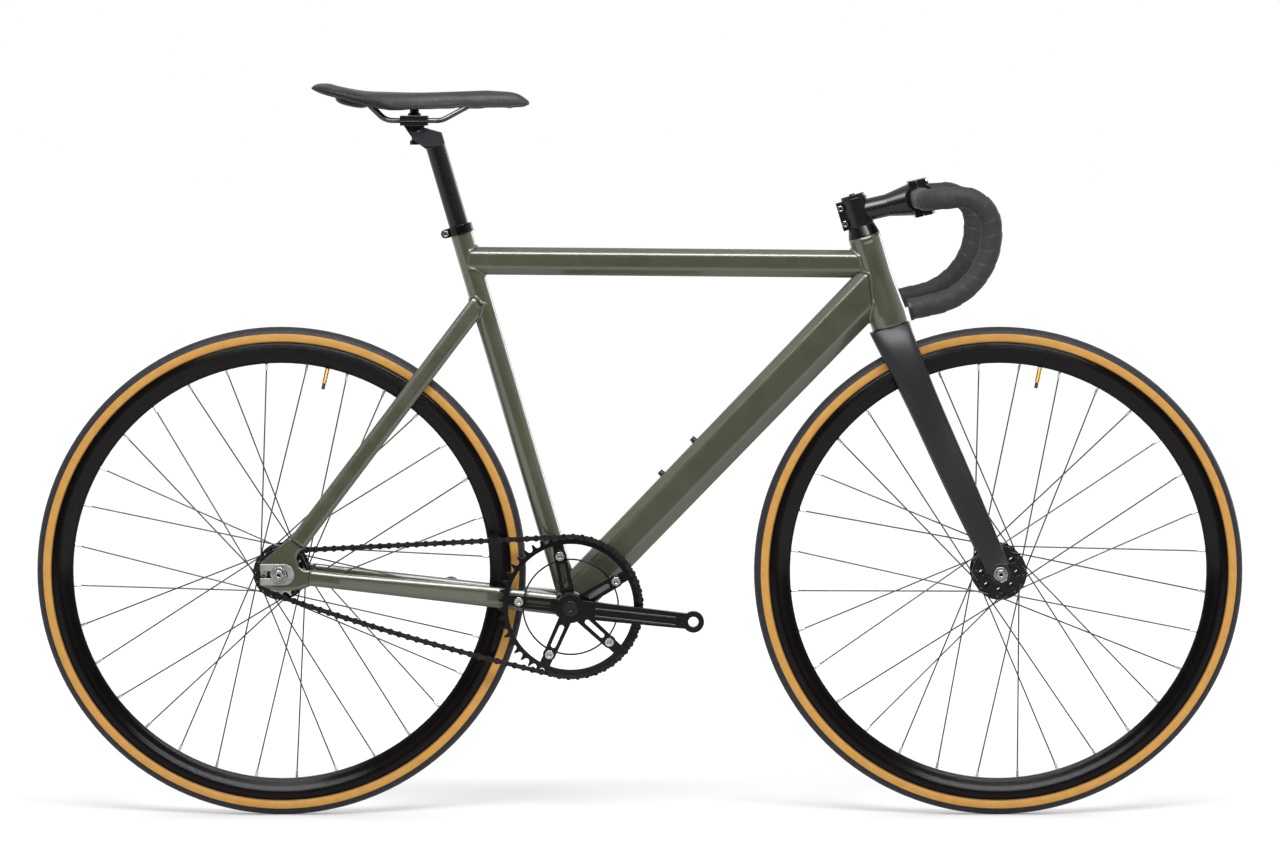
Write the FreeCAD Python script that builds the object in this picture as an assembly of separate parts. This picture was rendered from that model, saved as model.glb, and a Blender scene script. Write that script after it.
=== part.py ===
"""A fixed gear track bike with drop bars, at its real size in millimetres.

+X points forward, +Y to the rider's left and +Z up. The origin lies on the ground,
midway between the two axles. The chain runs on the right, at negative Y.
"""
import FreeCAD
import Part
import math
import os

V = FreeCAD.Vector

# Clearances and overruns shared by every piece
seat_gap = 0.05
running_gap = 0.05
body_gap = 0.4
overrun = 2.0
section_points = 16
solving_steps = 80
widest_sag_turn = 300.0

# Layout of the bicycle
wheelbase = 994.0
tyre_radius = 339.0
bb_drop = 46.4
chainstay_length = 403.97
head_angle = 73.35
seat_angle = 73.6
fork_rake = 46.0
fork_length = 368.0
rear_hub_width = 120.0
front_hub_width = 100.0
chain_line = 43.0

# Head tube and headset
head_tube_length = 130.0
head_tube_top_radius = 22.4
head_tube_foot_radius = 26.7
head_tube_foot_length = 18.0
head_tube_neck_length = 52.0
head_tube_bore_radius = 17.5
upper_bearing_radius = 19.8
lower_bearing_radius = 23.4
bearing_height = 7.5
bearing_sink = 1.5
steerer_radius = 14.3
race_radius = 15.9
cover_height = 15.0
cover_foot_radius = 22.4
cover_top_radius = 16.0
crown_gap = 0.6

# Main tubes
seat_tube_radius = 15.25
seat_tube_extension = 50.8
seat_collar_height = 12.5
seat_collar_wall = 2.6
collar_slit = 1.6
collar_bolt_radius = 2.5
collar_bolt_head_radius = 4.4
collar_bolt_head_height = 3.5
main_tube_wall = 2.0
tube_corner = 3.0
top_tube_height = 38.5
top_tube_width = 34.0
top_tube_seat_distance = 497.2
top_tube_head_distance = 90.2
down_tube_depth = 57.0
down_tube_head_depth = 61.0
down_tube_width = 42.0
down_tube_head_distance = 64.0
down_tube_rise = 7.0
bb_shell_radius = 21.0
bb_shell_width = 68.0
bb_bore_radius = 17.4
cup_flange_radius = 20.0
cup_flange_width = 2.5
cup_depth = 14.0

# Stays and rear dropouts
seatstay_seat_distance = 440.0
seatstay_axle_offset = 5.7
seatstay_depth = 25.0
seatstay_width = 13.0
seatstay_top_offset = 8.6
seatstay_end_distance = 50.0
chainstay_end_height = 21.5
chainstay_front_height = 28.5
chainstay_end_width = 13.0
chainstay_front_width = 16.5
chainstay_front_offset = 28.5
chainstay_end_distance = 42.0
chainstay_bend_distance = 288.0
stay_corner = 3.5
dropout_thickness = 7.0
dropout_tail = 26.0
dropout_top = 15.5
dropout_foot = 14.5
dropout_belly = 21.9
dropout_throat = 24.0
dropout_throat_height = 22.0
slot_height = 10.4
slot_reach = 7.0
plate_thickness = 1.6
plate_height = 29.0
plate_front = 21.0

# Bolts on the down tube for a bottle cage
boss_spacing = 64.0
boss_first_distance = 213.4
boss_radius = 4.6
boss_height = 2.0
bottle_bolt_head_radius = 4.2
bottle_bolt_head_height = 4.0

# Wheels
rim_outer_radius = 318.0
rim_inner_radius = 288.8
rim_width = 23.0
rim_nose_width = 7.0
rim_wall = 2.2
rim_bed_radius = 310.0
rim_channel_radius = 307.0
rim_track = 9.0
rim_hole_offset = 1.2
bead_radius = 311.0
tyre_width = 28.0
tyre_wall = 2.4
tube_gap = 0.3
tube_wall = 1.0
bead_width = 2.4
spoke_count = 32
spoke_crosses = 3
spoke_radius = 1.0
nipple_radius = 2.0
nipple_length = 9.0
nipple_seat = 0.45
spoke_elbow_radius = 1.15
spoke_head_radius = 1.9
spoke_head_height = 1.0
rear_valve_angle = 77.1
front_valve_angle = 78.6
valve_radius = 3.0
valve_cap_radius = 2.4
valve_length = 30.0
valve_cap_length = 9.0

# Hubs and axles
flange_radius = 37.6
spoke_hole_gap = 0.25
flange_hole_circle = 33.0
flange_thickness = 3.2
front_flange_offset = 34.0
rear_flange_offset = 31.0
hub_barrel_radius = 13.5
hub_end_radius = 17.0
hub_neck_radius = 14.6
hub_end_inset = 6.0
hub_bore_radius = 7.5
hub_slot_count = 8
hub_slot_radius = 4.2
hub_slot_circle = 24.6
hub_bearing_radius = 13.0
hub_bearing_width = 8.0
axle_radius = 5.0
axle_shoulder_radius = 8.5
axle_shoulder_gap = 0.6
rear_washer_radius = 10.4
front_washer_radius = 9.6
washer_thickness = 2.2
axle_bolt_head_radius = 6.0
axle_bolt_head_height = 6.5
axle_socket_radius = 2.9
axle_socket_depth = 4.5

# Chain, sprocket and chainring
chain_pitch = 12.7
ring_teeth = 48
cog_teeth = 15
roller_radius = 3.88
chain_inner_width = 3.3
chain_plate = 1.1
chain_plate_gap = 0.12
chain_plate_height = 8.6
chain_waist_height = 5.8
chain_pin_radius = 1.8
chain_pin_stub = 0.5
tooth_width = 2.9
tooth_height = 3.6
tooth_seat_gap = 0.12
tooth_tip_width = 2.2
tooth_seat_spread = 62.0
cog_bore_radius = 17.5
cog_body_radius = 24.0
cog_body_width = 4.0
lockring_radius = 20.5
lockring_width = 4.0
ring_bolt_circle = 72.0
ring_bolt_count = 5
ring_rim_radius = 87.0
ring_hoop_radius = 65.8
ring_hoop_width = 2.2
ring_tab_radius = 9.0
ring_tab_width = 15.0
ring_bolt_radius = 5.0
ring_bolt_head_radius = 6.0
ring_bolt_head_height = 2.2

# Cranks
crank_length = 170.0
crank_angle = -6.2
crank_boss_radius = 20.0
crank_eye_radius = 14.8
crank_arm_thickness = 13.0
crank_arm_root_width = 26.0
crank_arm_tip_width = 21.0
crank_flute_radius = 2.4
pedal_thread_radius = 7.14
spider_thickness = 5.0
spider_root_width = 19.0
spider_tip_width = 17.0
spider_slot_width = 7.0
spider_slot_start = 31.0
spider_slot_end = 58.0
spindle_radius = 8.5
crank_face_offset = 74.0
crank_boss_start = 39.0
spindle_reach = 62.0
crank_bolt_radius = 4.0
crank_flute_start = 34.0
crank_flute_end = 146.0
crank_flute_offset = 5.2
crank_cap_radius = 10.4
crank_cap_height = 2.5
crank_cap_socket_radius = 4.0

# Fork
blade_tilt = 24.25
blade_root_depth = 46.5
blade_tip_depth = 33.0
blade_root_width = 21.0
blade_root_offset = 33.0
crown_depth = 56.0
crown_setback = 3.0
crown_width = 26.0
crown_offset = 12.0
crown_thickness = 14.0
fork_tip_radius = 14.2
fork_tip_width = 9.0
steerer_recess = 3.0
wheel_room = 5.0
wheel_room_width = 38.0

# Stem, handlebar and tape
stem_length = 88.6
stem_rise = 13.0
stem_clamp_height = 40.0
stem_clamp_radius = 18.8
stem_neck_radius = 15.5
stem_flare_length = 46.0
stem_flare_radius = 22.5
bar_clamp_radius = 15.9
bar_clamp_width = 46.0
faceplate_wall = 4.6
faceplate_split = 1.6
stem_bolt_radius = 2.5
stem_bolt_head_radius = 4.2
stem_bolt_head_height = 4.0
stem_bolt_spacing = 22.0
stem_ear_half = 25.5
stem_ear_depth = 12.0
faceplate_bolt_height = 21.0
faceplate_bolt_offset = 14.0
stem_back_ear = 6.5
stem_back_half = 8.5
top_cap_height = 4.5
top_cap_radius = 16.5
bar_radius = 11.9
bar_wall = 2.2
bar_bulge_half = 32.0
bar_taper_end = 62.0
bar_width = 420.0
bar_reach = 87.3
bar_ramp_angle = 5.5
bar_hook_drop = 131.7
bar_shoulder_radius = 38.0
bar_hook_radius = 42.0
bar_drop_radius = 98.0
bar_end_angle = 12.3
bar_end_run = 109.8
tape_thickness = 3.0
tape_start = 66.0
plug_radius = 15.0
plug_thickness = 4.0
plug_depth = 18.0

# Seatpost and saddle
post_radius = 13.6
post_length = 300.0
post_top_distance = 662.0
post_wall = 2.4
saddle_setback = 215.9
rail_rise = 670.4
rail_radius = 3.5
rail_spread = 44.0
rail_flat_front = 38.0
rail_flat_back = 40.0
rail_front_run = 46.0
rail_front_rise = 25.0
rail_front_spread = 26.0
rail_back_run = 28.0
rail_back_rise = 28.0
rail_back_spread = 74.0
rail_bend_radius = 24.0
clamp_length = 38.0
clamp_width = 58.0
clamp_plate = 6.5
clamp_rib = 3.5
clamp_rib_radius = 9.0
clamp_nut_height = 6.5
cradle_radius = 16.0
clamp_split = 0.8
post_head_half = 13.0
post_head_drop = 9.5
post_head_depth = 27.8
post_head_shoulder = 15.9
post_head_width = 30.0
bolt_swing = 3.8
clamp_bolt_seat = 26.0
clamp_bolt_radius = 4.0
clamp_bolt_head_radius = 6.5
clamp_bolt_head_height = 6.0
clamp_bolt_slack = 1.4
saddle_length = 300.0
saddle_tail_run = 141.0
saddle_rise = 41.0
saddle_half_width = 70.0
saddle_depth = 24.0

# Outlines as shares of a half width and a half height, one side, from the top down
top_tube_shares = ((0.53, 1.0), (1.0, 0.58), (1.0, -0.45), (0.47, -1.0))
down_tube_shares = ((0.57, 1.0), (1.0, 0.62), (1.0, -0.48), (0.43, -1.0))
stay_shares = ((0.70, 1.0), (1.0, 0.55), (1.0, -0.55), (0.55, -1.0))

LEFT = V(0, 1, 0)
UP = V(0, 0, 1)
FORWARD = V(1, 0, 0)
SIDES = {"right": -1, "left": 1}


def heading(angle):
    """Unit vector in the side plane, an angle in degrees above forward."""
    turn = math.radians(angle)
    return V(math.cos(turn), 0, math.sin(turn))


def climb(direction):
    """Angle in degrees of a side plane direction above forward."""
    return math.degrees(math.atan2(direction.z, direction.x))


# Places that every piece hangs from
rear_axle_point = V(-wheelbase / 2, 0, tyre_radius)
front_axle_point = V(wheelbase / 2, 0, tyre_radius)
bb_run = math.sqrt(chainstay_length ** 2 - bb_drop ** 2)
bb_point = V(bb_run - wheelbase / 2, 0, tyre_radius - bb_drop)
steer_up = heading(180 - head_angle)
steer_out = heading(90 - head_angle)
head_foot = front_axle_point - steer_out * fork_rake + steer_up * fork_length
head_top = head_foot + steer_up * head_tube_length
seat_up = heading(180 - seat_angle)
seat_out = heading(90 - seat_angle)
seat_tube_length = top_tube_seat_distance + seat_tube_extension
seat_top = bb_point + seat_up * seat_tube_length
dropout_face = rear_hub_width / 2
plate_face = dropout_face + dropout_thickness
stay_end_offset = dropout_face + dropout_thickness / 2

parts = {}


def rod(start, end, radius):
    """Round bar from one point to another."""
    span = end - start
    return Part.makeCylinder(radius, span.Length, start, span)


def ring(start, axis, length, outer, inner):
    """Tube with a round bore along a unit axis."""
    body = Part.makeCylinder(outer, length, start, axis)
    bore = Part.makeCylinder(inner, length + 2 * overrun, start - axis * overrun, axis)
    return body.cut(bore)


def turned(corners, origin, axis, radial):
    """Solid turned about an axis from corners of (distance along it, radius)."""
    points = [origin + axis * along + radial * radius for along, radius in corners]
    face = Part.Face(Part.makePolygon(points + points[:1]))
    return face.revolve(origin, axis, 360)


def corner_arc(before, corner, after, radius):
    """Start, middle and end of the arc that rounds one corner."""
    back = (before - corner).normalize()
    ahead = (after - corner).normalize()
    half = back.getAngle(ahead) / 2
    reach = radius / math.tan(half)
    inward = (back + ahead).normalize()
    middle = corner + inward * (radius / math.sin(half) - radius)
    return corner + back * reach, middle, corner + ahead * reach


def rounded_wire(corners, radius):
    """Closed wire of lines with every corner rounded."""
    count = len(corners)
    arcs = []
    for index in range(count):
        arcs.append(corner_arc(corners[index - 1], corners[index], corners[(index + 1) % count], radius))
    edges = []
    for index in range(count):
        start, middle, end = arcs[index]
        edges.append(Part.Arc(start, middle, end).toShape())
        edges.append(Part.makeLine(end, arcs[(index + 1) % count][0]))
    return Part.Wire(edges)


def bent_path(points, radii):
    """Open wire of straight runs joined by tangent arcs."""
    edges = []
    last = points[0]
    for index in range(1, len(points) - 1):
        start, middle, end = corner_arc(points[index - 1], points[index], points[index + 1], radii[index - 1])
        if (start - last).Length > seat_gap:
            edges.append(Part.makeLine(last, start))
        edges.append(Part.Arc(start, middle, end).toShape())
        last = end
    edges.append(Part.makeLine(last, points[-1]))
    return Part.Wire(edges)


def swept(path, radius):
    """Round bar along a wire."""
    first = path.OrderedEdges[0]
    start = path.OrderedVertexes[0].Point
    tangent = first.tangentAt(first.FirstParameter)
    if (first.valueAt(first.FirstParameter) - start).Length > seat_gap:
        tangent = first.tangentAt(first.LastParameter) * -1
    circle = Part.Wire(Part.makeCircle(radius, start, tangent))
    return path.makePipeShell([circle], True, False)


def mirrored(shares, half_width, half_height):
    """Closed outline from the shares of one side."""
    right = [(half_width * across, half_height * up) for across, up in shares]
    left = [(-across, up) for across, up in reversed(right)]
    return right + left


def placed(outline, centre, up):
    """Outline corners in the plane across the bicycle at a centre."""
    return [centre + LEFT * across + up * rise for across, rise in outline]


def section_wire(shares, centre, up, width, height, corner):
    """Rounded section of a tube at a centre."""
    return rounded_wire(placed(mirrored(shares, width / 2, height / 2), centre, up), corner)


def superellipse(centre, across, along, half_across, half_along, power):
    """Smooth closed section between an ellipse and a box."""
    points = []
    for index in range(section_points):
        turn = 2 * math.pi * index / section_points
        c = math.copysign(abs(math.cos(turn)) ** (2 / power), math.cos(turn))
        s = math.copysign(abs(math.sin(turn)) ** (2 / power), math.sin(turn))
        points.append(centre + across * (half_across * c) + along * (half_along * s))
    curve = Part.BSplineCurve()
    curve.interpolate(points, PeriodicFlag=True)
    return Part.Wire(curve.toShape())


def polar(centre, radius, angle, lateral):
    """Point on a wheel or sprocket, at an angle in degrees above forward."""
    spot = centre + heading(angle) * radius
    return V(spot.x, lateral, spot.z)


def slab(points, lateral, thickness):
    """Plate of straight edges in the side plane, from one lateral place outwards."""
    corners = [V(point.x, lateral, point.z) for point in points]
    return Part.Face(Part.makePolygon(corners + corners[:1])).extrude(LEFT * thickness)


def fused(shapes):
    """One solid from touching or overlapping shapes."""
    return shapes[0].multiFuse(shapes[1:]).removeSplitter()


def socket_head(seat, axis, head_radius, head_height, socket_radius, socket_depth):
    """Round bolt head with a hexagon socket, standing on a seat."""
    side = axis.cross(UP)
    if side.Length < math.sin(math.radians(1)):
        side = FORWARD
    side.normalize()
    other = axis.cross(side)
    floor = seat + axis * (head_height - socket_depth)
    corners = []
    for index in range(6):
        turn = math.radians(60 * index)
        along = side * (socket_radius * math.cos(turn))
        across = other * (socket_radius * math.sin(turn))
        corners.append(floor + along + across)
    hexagon = Part.Face(Part.makePolygon(corners + corners[:1])).extrude(axis * (socket_depth + overrun))
    return Part.makeCylinder(head_radius, head_height, seat, axis).cut(hexagon)


# Head tube and its two bearings
def head_tube_corners(clearance):
    """Outer corners of the head tube, from its foot up."""
    return [
        (0, head_tube_foot_radius + clearance),
        (head_tube_foot_length, head_tube_foot_radius + clearance),
        (head_tube_foot_length + head_tube_neck_length, head_tube_top_radius + clearance),
        (head_tube_length, head_tube_top_radius + clearance),
    ]


def make_head_tube():
    """Tapered head tube with a bearing seat at each end."""
    ledge = bearing_sink + bearing_height
    bore = [
        (head_tube_length, upper_bearing_radius + seat_gap),
        (head_tube_length - ledge, upper_bearing_radius + seat_gap),
        (head_tube_length - ledge, head_tube_bore_radius),
        (ledge, head_tube_bore_radius),
        (ledge, lower_bearing_radius + seat_gap),
        (0, lower_bearing_radius + seat_gap),
    ]
    return turned(head_tube_corners(0) + bore, head_foot, steer_up, steer_out)


def make_headset_bearings():
    """Upper and lower bearing rings in the head tube."""
    upper_start = head_foot + steer_up * (head_tube_length - bearing_sink - bearing_height)
    upper = ring(upper_start, steer_up, bearing_height, upper_bearing_radius, steerer_radius + running_gap)
    lower_start = head_foot + steer_up * bearing_sink
    lower = ring(lower_start, steer_up, bearing_height, lower_bearing_radius, race_radius + running_gap)
    return Part.makeCompound([upper, lower])


# Main tubes of the frame
head_room_corners = [(0, 0)] + head_tube_corners(seat_gap) + [(head_tube_length, 0)]
head_room = turned(head_room_corners, head_foot, steer_up, steer_out)
seat_room = rod(bb_point, seat_top, seat_tube_radius + seat_gap)
bb_room = rod(bb_point - LEFT * bb_shell_width, bb_point + LEFT * bb_shell_width, bb_shell_radius + seat_gap)

top_tube_back = bb_point + seat_up * top_tube_seat_distance
top_tube_front = head_foot + steer_up * top_tube_head_distance
down_tube_low = bb_point + UP * down_tube_rise
down_tube_high = head_foot + steer_up * down_tube_head_distance
down_tube_way = (down_tube_high - down_tube_low).normalize()
down_tube_up = heading(climb(down_tube_way) + 90)
down_tube_length = (down_tube_high - down_tube_low).Length


def main_tube(shares, start, end, width, start_height, end_height, shrink):
    """Straight bevelled tube, drawn in all round by shrink."""
    up = heading(climb(end - start) + 90)
    corner = max(tube_corner - shrink, tube_corner / 3)
    first = section_wire(shares, start, up, width - 2 * shrink, start_height - 2 * shrink, corner)
    last = section_wire(shares, end, up, width - 2 * shrink, end_height - 2 * shrink, corner)
    return Part.makeLoft([first, last], True, True)


def down_tube_form(shrink):
    """Down tube before its ends are mitred."""
    return main_tube(down_tube_shares, down_tube_low, down_tube_high, down_tube_width,
                     down_tube_depth, down_tube_head_depth, shrink)


def top_tube_form(shrink):
    """Top tube before its ends are mitred."""
    return main_tube(top_tube_shares, top_tube_back, top_tube_front, top_tube_width,
                     top_tube_height, top_tube_height, shrink)


def make_down_tube():
    """Hollow down tube, mitred to the head tube, shell and seat tube."""
    tube = down_tube_form(0).cut(down_tube_form(main_tube_wall))
    return biggest(tube.cut(head_room).cut(bb_room).cut(seat_room))


def make_top_tube():
    """Hollow top tube, mitred to the seat tube, head tube and down tube."""
    tube = top_tube_form(0).cut(top_tube_form(main_tube_wall))
    return biggest(tube.cut(head_room).cut(seat_room).cut(down_tube_form(-seat_gap)))


def biggest(shape):
    """Main solid that a mitre leaves."""
    return max(shape.Solids, key=lambda solid: solid.Volume)


def make_seat_tube():
    """Round seat tube, bored for the post, mitred to the shell."""
    tube = ring(bb_point, seat_up, seat_tube_length, seat_tube_radius, post_radius + running_gap)
    return biggest(tube.cut(bb_room))


def make_bb_shell():
    """Round shell across the frame that holds the crank bearings."""
    start = bb_point - LEFT * (bb_shell_width / 2)
    return ring(start, LEFT, bb_shell_width, bb_shell_radius, bb_bore_radius)


def make_bb_cups():
    """Bearing cups, each with a flange outside the shell."""
    cups = []
    for side in SIDES.values():
        face = bb_point + LEFT * (side * bb_shell_width / 2)
        out = LEFT * side
        flange = ring(face, out, cup_flange_width, cup_flange_radius, spindle_radius + running_gap)
        sleeve = ring(face - out * cup_depth, out, cup_depth, bb_bore_radius - seat_gap,
                      spindle_radius + running_gap)
        cups.append(fused([flange, sleeve]))
    return Part.makeCompound(cups)


def make_seat_collar():
    """Clamp ring round the top of the seat tube, with two ears at the back."""
    start = seat_top - seat_up * seat_collar_height
    outer = seat_tube_radius + seat_collar_wall
    ear = seat_collar_height / 2
    reach = outer + ear / 2
    middle = start + seat_up * ear - seat_out * reach
    half_span = LEFT * (ear + collar_slit)
    lug = rod(middle - half_span, middle + half_span, ear)
    bridge = slab([start, start - seat_out * reach, start - seat_out * reach + seat_up * seat_collar_height,
                   start + seat_up * seat_collar_height], -half_span.y, 2 * half_span.y)
    body = fused([Part.makeCylinder(outer, seat_collar_height, start, seat_up), bridge, lug])
    bore = rod(start - seat_up * overrun, seat_top + seat_up * overrun, seat_tube_radius + seat_gap)
    slit_back = start - seat_out * (reach + 2 * ear)
    slit = slab([start - seat_up * overrun, slit_back - seat_up * overrun,
                 slit_back + seat_up * (seat_collar_height + overrun),
                 start + seat_up * (seat_collar_height + overrun)], -collar_slit / 2, collar_slit)
    bolt_hole = rod(middle - half_span * 2, middle + half_span * 2, collar_bolt_radius + seat_gap)
    return body.cut(bore).cut(slit).cut(bolt_hole)


def make_seat_collar_bolt():
    """Cross bolt through the collar's ears."""
    outer = seat_tube_radius + seat_collar_wall
    ear = seat_collar_height / 2
    middle = seat_top - seat_up * ear - seat_out * (outer + ear / 2)
    half = ear + collar_slit
    shank = rod(middle - LEFT * half, middle + LEFT * half, collar_bolt_radius)
    head = socket_head(middle - LEFT * half, LEFT * -1, collar_bolt_head_radius, collar_bolt_head_height,
                       collar_bolt_radius, collar_bolt_head_height / 2)
    return fused([shank, head])


def make_bottle_bolts():
    """Two bosses with bolts on the upper face of the down tube."""
    pieces = []
    for index in range(2):
        distance = boss_first_distance + index * boss_spacing
        depth = down_tube_depth + (down_tube_head_depth - down_tube_depth) * distance / down_tube_length
        seat = down_tube_low + down_tube_way * distance + down_tube_up * (depth / 2 + seat_gap)
        boss = Part.makeCylinder(boss_radius, boss_height, seat, down_tube_up)
        head = socket_head(seat + down_tube_up * boss_height, down_tube_up, bottle_bolt_head_radius,
                           bottle_bolt_head_height, bottle_bolt_head_radius / 2, bottle_bolt_head_height / 2)
        pieces.append(fused([boss, head]))
    return Part.makeCompound(pieces)


# Stays and dropouts
seatstay_seat = bb_point + seat_up * seatstay_seat_distance
seatstay_span = seatstay_seat - rear_axle_point
seatstay_lean = math.degrees(math.asin(seatstay_axle_offset / seatstay_span.Length))
seatstay_way = heading(climb(seatstay_span) - seatstay_lean)
seatstay_up = heading(climb(seatstay_way) + 90)
chainstay_way = (bb_point - rear_axle_point).normalize()
chainstay_up = heading(climb(chainstay_way) + 90)
seatstay_end = rear_axle_point + seatstay_up * seatstay_axle_offset + seatstay_way * seatstay_end_distance
chainstay_end = rear_axle_point + chainstay_way * chainstay_end_distance


def make_seatstay(side):
    """One straight seatstay from the seat tube out to its dropout."""
    top = seatstay_seat + LEFT * (side * seatstay_top_offset)
    low = seatstay_end + LEFT * (side * stay_end_offset)
    wires = []
    for spot in (low, top):
        wires.append(section_wire(stay_shares, spot, seatstay_up, seatstay_width, seatstay_depth, stay_corner))
    return biggest(Part.makeLoft(wires, True, True).cut(seat_room))


def make_chainstay(side):
    """One chainstay that bends in past the tyre and the chainring."""
    stations = [
        (chainstay_end_distance, stay_end_offset, chainstay_end_width, chainstay_end_height),
        (2 * chainstay_end_distance, stay_end_offset, chainstay_end_width, chainstay_end_height),
        (chainstay_bend_distance, chainstay_front_offset, chainstay_front_width, chainstay_front_height),
        (chainstay_length, chainstay_front_offset, chainstay_front_width, chainstay_front_height),
    ]
    wires = []
    for distance, offset, width, height in stations:
        spot = rear_axle_point + chainstay_way * distance + LEFT * (side * offset)
        wires.append(section_wire(stay_shares, spot, chainstay_up, width, height, stay_corner))
    return biggest(Part.makeLoft(wires, True, True).cut(bb_room))


def slot_edges(back, tail_low, tail_high):
    """Edges of the rear facing axle slot, from the lower tail corner to the upper one."""
    half = slot_height / 2
    low = rear_axle_point + FORWARD * slot_reach - UP * half
    high = rear_axle_point + FORWARD * slot_reach + UP * half
    nose = rear_axle_point + FORWARD * (slot_reach + half)
    mouth_low = rear_axle_point - FORWARD * back - UP * half
    mouth_high = rear_axle_point - FORWARD * back + UP * half
    return [
        Part.makeLine(tail_low, mouth_low),
        Part.makeLine(mouth_low, low),
        Part.Arc(low, nose, high).toShape(),
        Part.makeLine(high, mouth_high),
        Part.makeLine(mouth_high, tail_high),
    ]


def sided(edges, side, inner, thickness):
    """Plate from side plane edges, moved out to one side."""
    face = Part.Face(Part.Wire(edges))
    face.translate(LEFT * (side * inner))
    return face.extrude(LEFT * (side * thickness))


def make_dropout(side):
    """Plate that joins the two stays and takes the rear axle in a slot."""
    tail_high = rear_axle_point - FORWARD * dropout_tail + UP * dropout_top
    tail_low = rear_axle_point - FORWARD * dropout_tail - UP * dropout_foot
    stay_back = seatstay_end + seatstay_up * (seatstay_depth / 2)
    stay_front = seatstay_end - seatstay_up * (seatstay_depth / 2)
    throat = rear_axle_point + FORWARD * dropout_throat + UP * dropout_throat_height
    chain_top = chainstay_end + chainstay_up * (chainstay_end_height / 2)
    chain_foot = chainstay_end - chainstay_up * (chainstay_end_height / 2)
    belly = rear_axle_point - UP * dropout_belly
    edges = [
        Part.makeLine(tail_high, stay_back),
        Part.makeLine(stay_back, stay_front),
        Part.Arc(stay_front, throat, chain_top).toShape(),
        Part.makeLine(chain_top, chain_foot),
        Part.Arc(chain_foot, belly, tail_low).toShape(),
    ] + slot_edges(dropout_tail, tail_low, tail_high)
    return sided(edges, side, dropout_face, dropout_thickness)


def make_dropout_plates():
    """Steel faces with a round front that the axle nuts bear on."""
    half = UP * (plate_height / 2)
    tail = rear_axle_point - FORWARD * dropout_tail
    bend = rear_axle_point + FORWARD * (plate_front - plate_height / 2)
    edges = [
        Part.makeLine(tail + half, bend + half),
        Part.Arc(bend + half, rear_axle_point + FORWARD * plate_front, bend - half).toShape(),
        Part.makeLine(bend - half, tail - half),
    ] + slot_edges(dropout_tail, tail - half, tail + half)
    return Part.makeCompound([sided(edges, side, plate_face, plate_thickness) for side in SIDES.values()])


parts["head_tube"] = make_head_tube()
parts["headset_bearings"] = make_headset_bearings()
parts["top_tube"] = make_top_tube()
parts["down_tube"] = make_down_tube()
parts["seat_tube"] = make_seat_tube()
parts["bottom_bracket_shell"] = make_bb_shell()
parts["bottom_bracket_cups"] = make_bb_cups()
parts["seat_collar"] = make_seat_collar()
parts["seat_collar_bolt"] = make_seat_collar_bolt()
parts["bottle_cage_bolts"] = make_bottle_bolts()
for side_name, side_sign in SIDES.items():
    parts["seatstay_" + side_name] = make_seatstay(side_sign)
    parts["chainstay_" + side_name] = make_chainstay(side_sign)
    parts["dropout_" + side_name] = make_dropout(side_sign)
parts["dropout_plates"] = make_dropout_plates()


# Wheels
tyre_middle_radius = tyre_radius - tyre_width / 2


def wheel_point(axle, lateral, radius):
    """Point above the axle, used to draw a section that is turned about it."""
    return axle + LEFT * lateral + UP * radius


def turned_section(axle, edges):
    """Solid of revolution about an axle from section edges."""
    return Part.Face(Part.Wire(edges)).revolve(axle, LEFT, 360)


def make_rim(axle, valve_angle):
    """Deep hollow rim with a flat track each side and a hole for the valve."""
    half = rim_width / 2
    nose = rim_nose_width / 2
    bed = half - rim_wall
    outer = [
        (-half, rim_outer_radius), (-bed, rim_outer_radius), (-bed, rim_bed_radius),
        (-bed / 2, rim_channel_radius), (bed / 2, rim_channel_radius), (bed, rim_bed_radius),
        (bed, rim_outer_radius), (half, rim_outer_radius), (half, rim_outer_radius - rim_track),
        (nose, rim_inner_radius), (-nose, rim_inner_radius), (-half, rim_outer_radius - rim_track),
    ]
    cavity_top = rim_channel_radius - rim_wall
    cavity_foot = rim_inner_radius + rim_wall
    inner = [(-bed + rim_wall, cavity_top), (bed - rim_wall, cavity_top),
             (nose / 2, cavity_foot), (-nose / 2, cavity_foot)]
    body = turned(outer, axle, LEFT, UP)
    cavity = turned(inner, axle, LEFT, UP)
    hole = rod(polar(axle, rim_inner_radius - overrun, valve_angle, 0),
               polar(axle, rim_outer_radius, valve_angle, 0), valve_radius + tube_gap)
    return body.cut(cavity).cut(hole)


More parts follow.
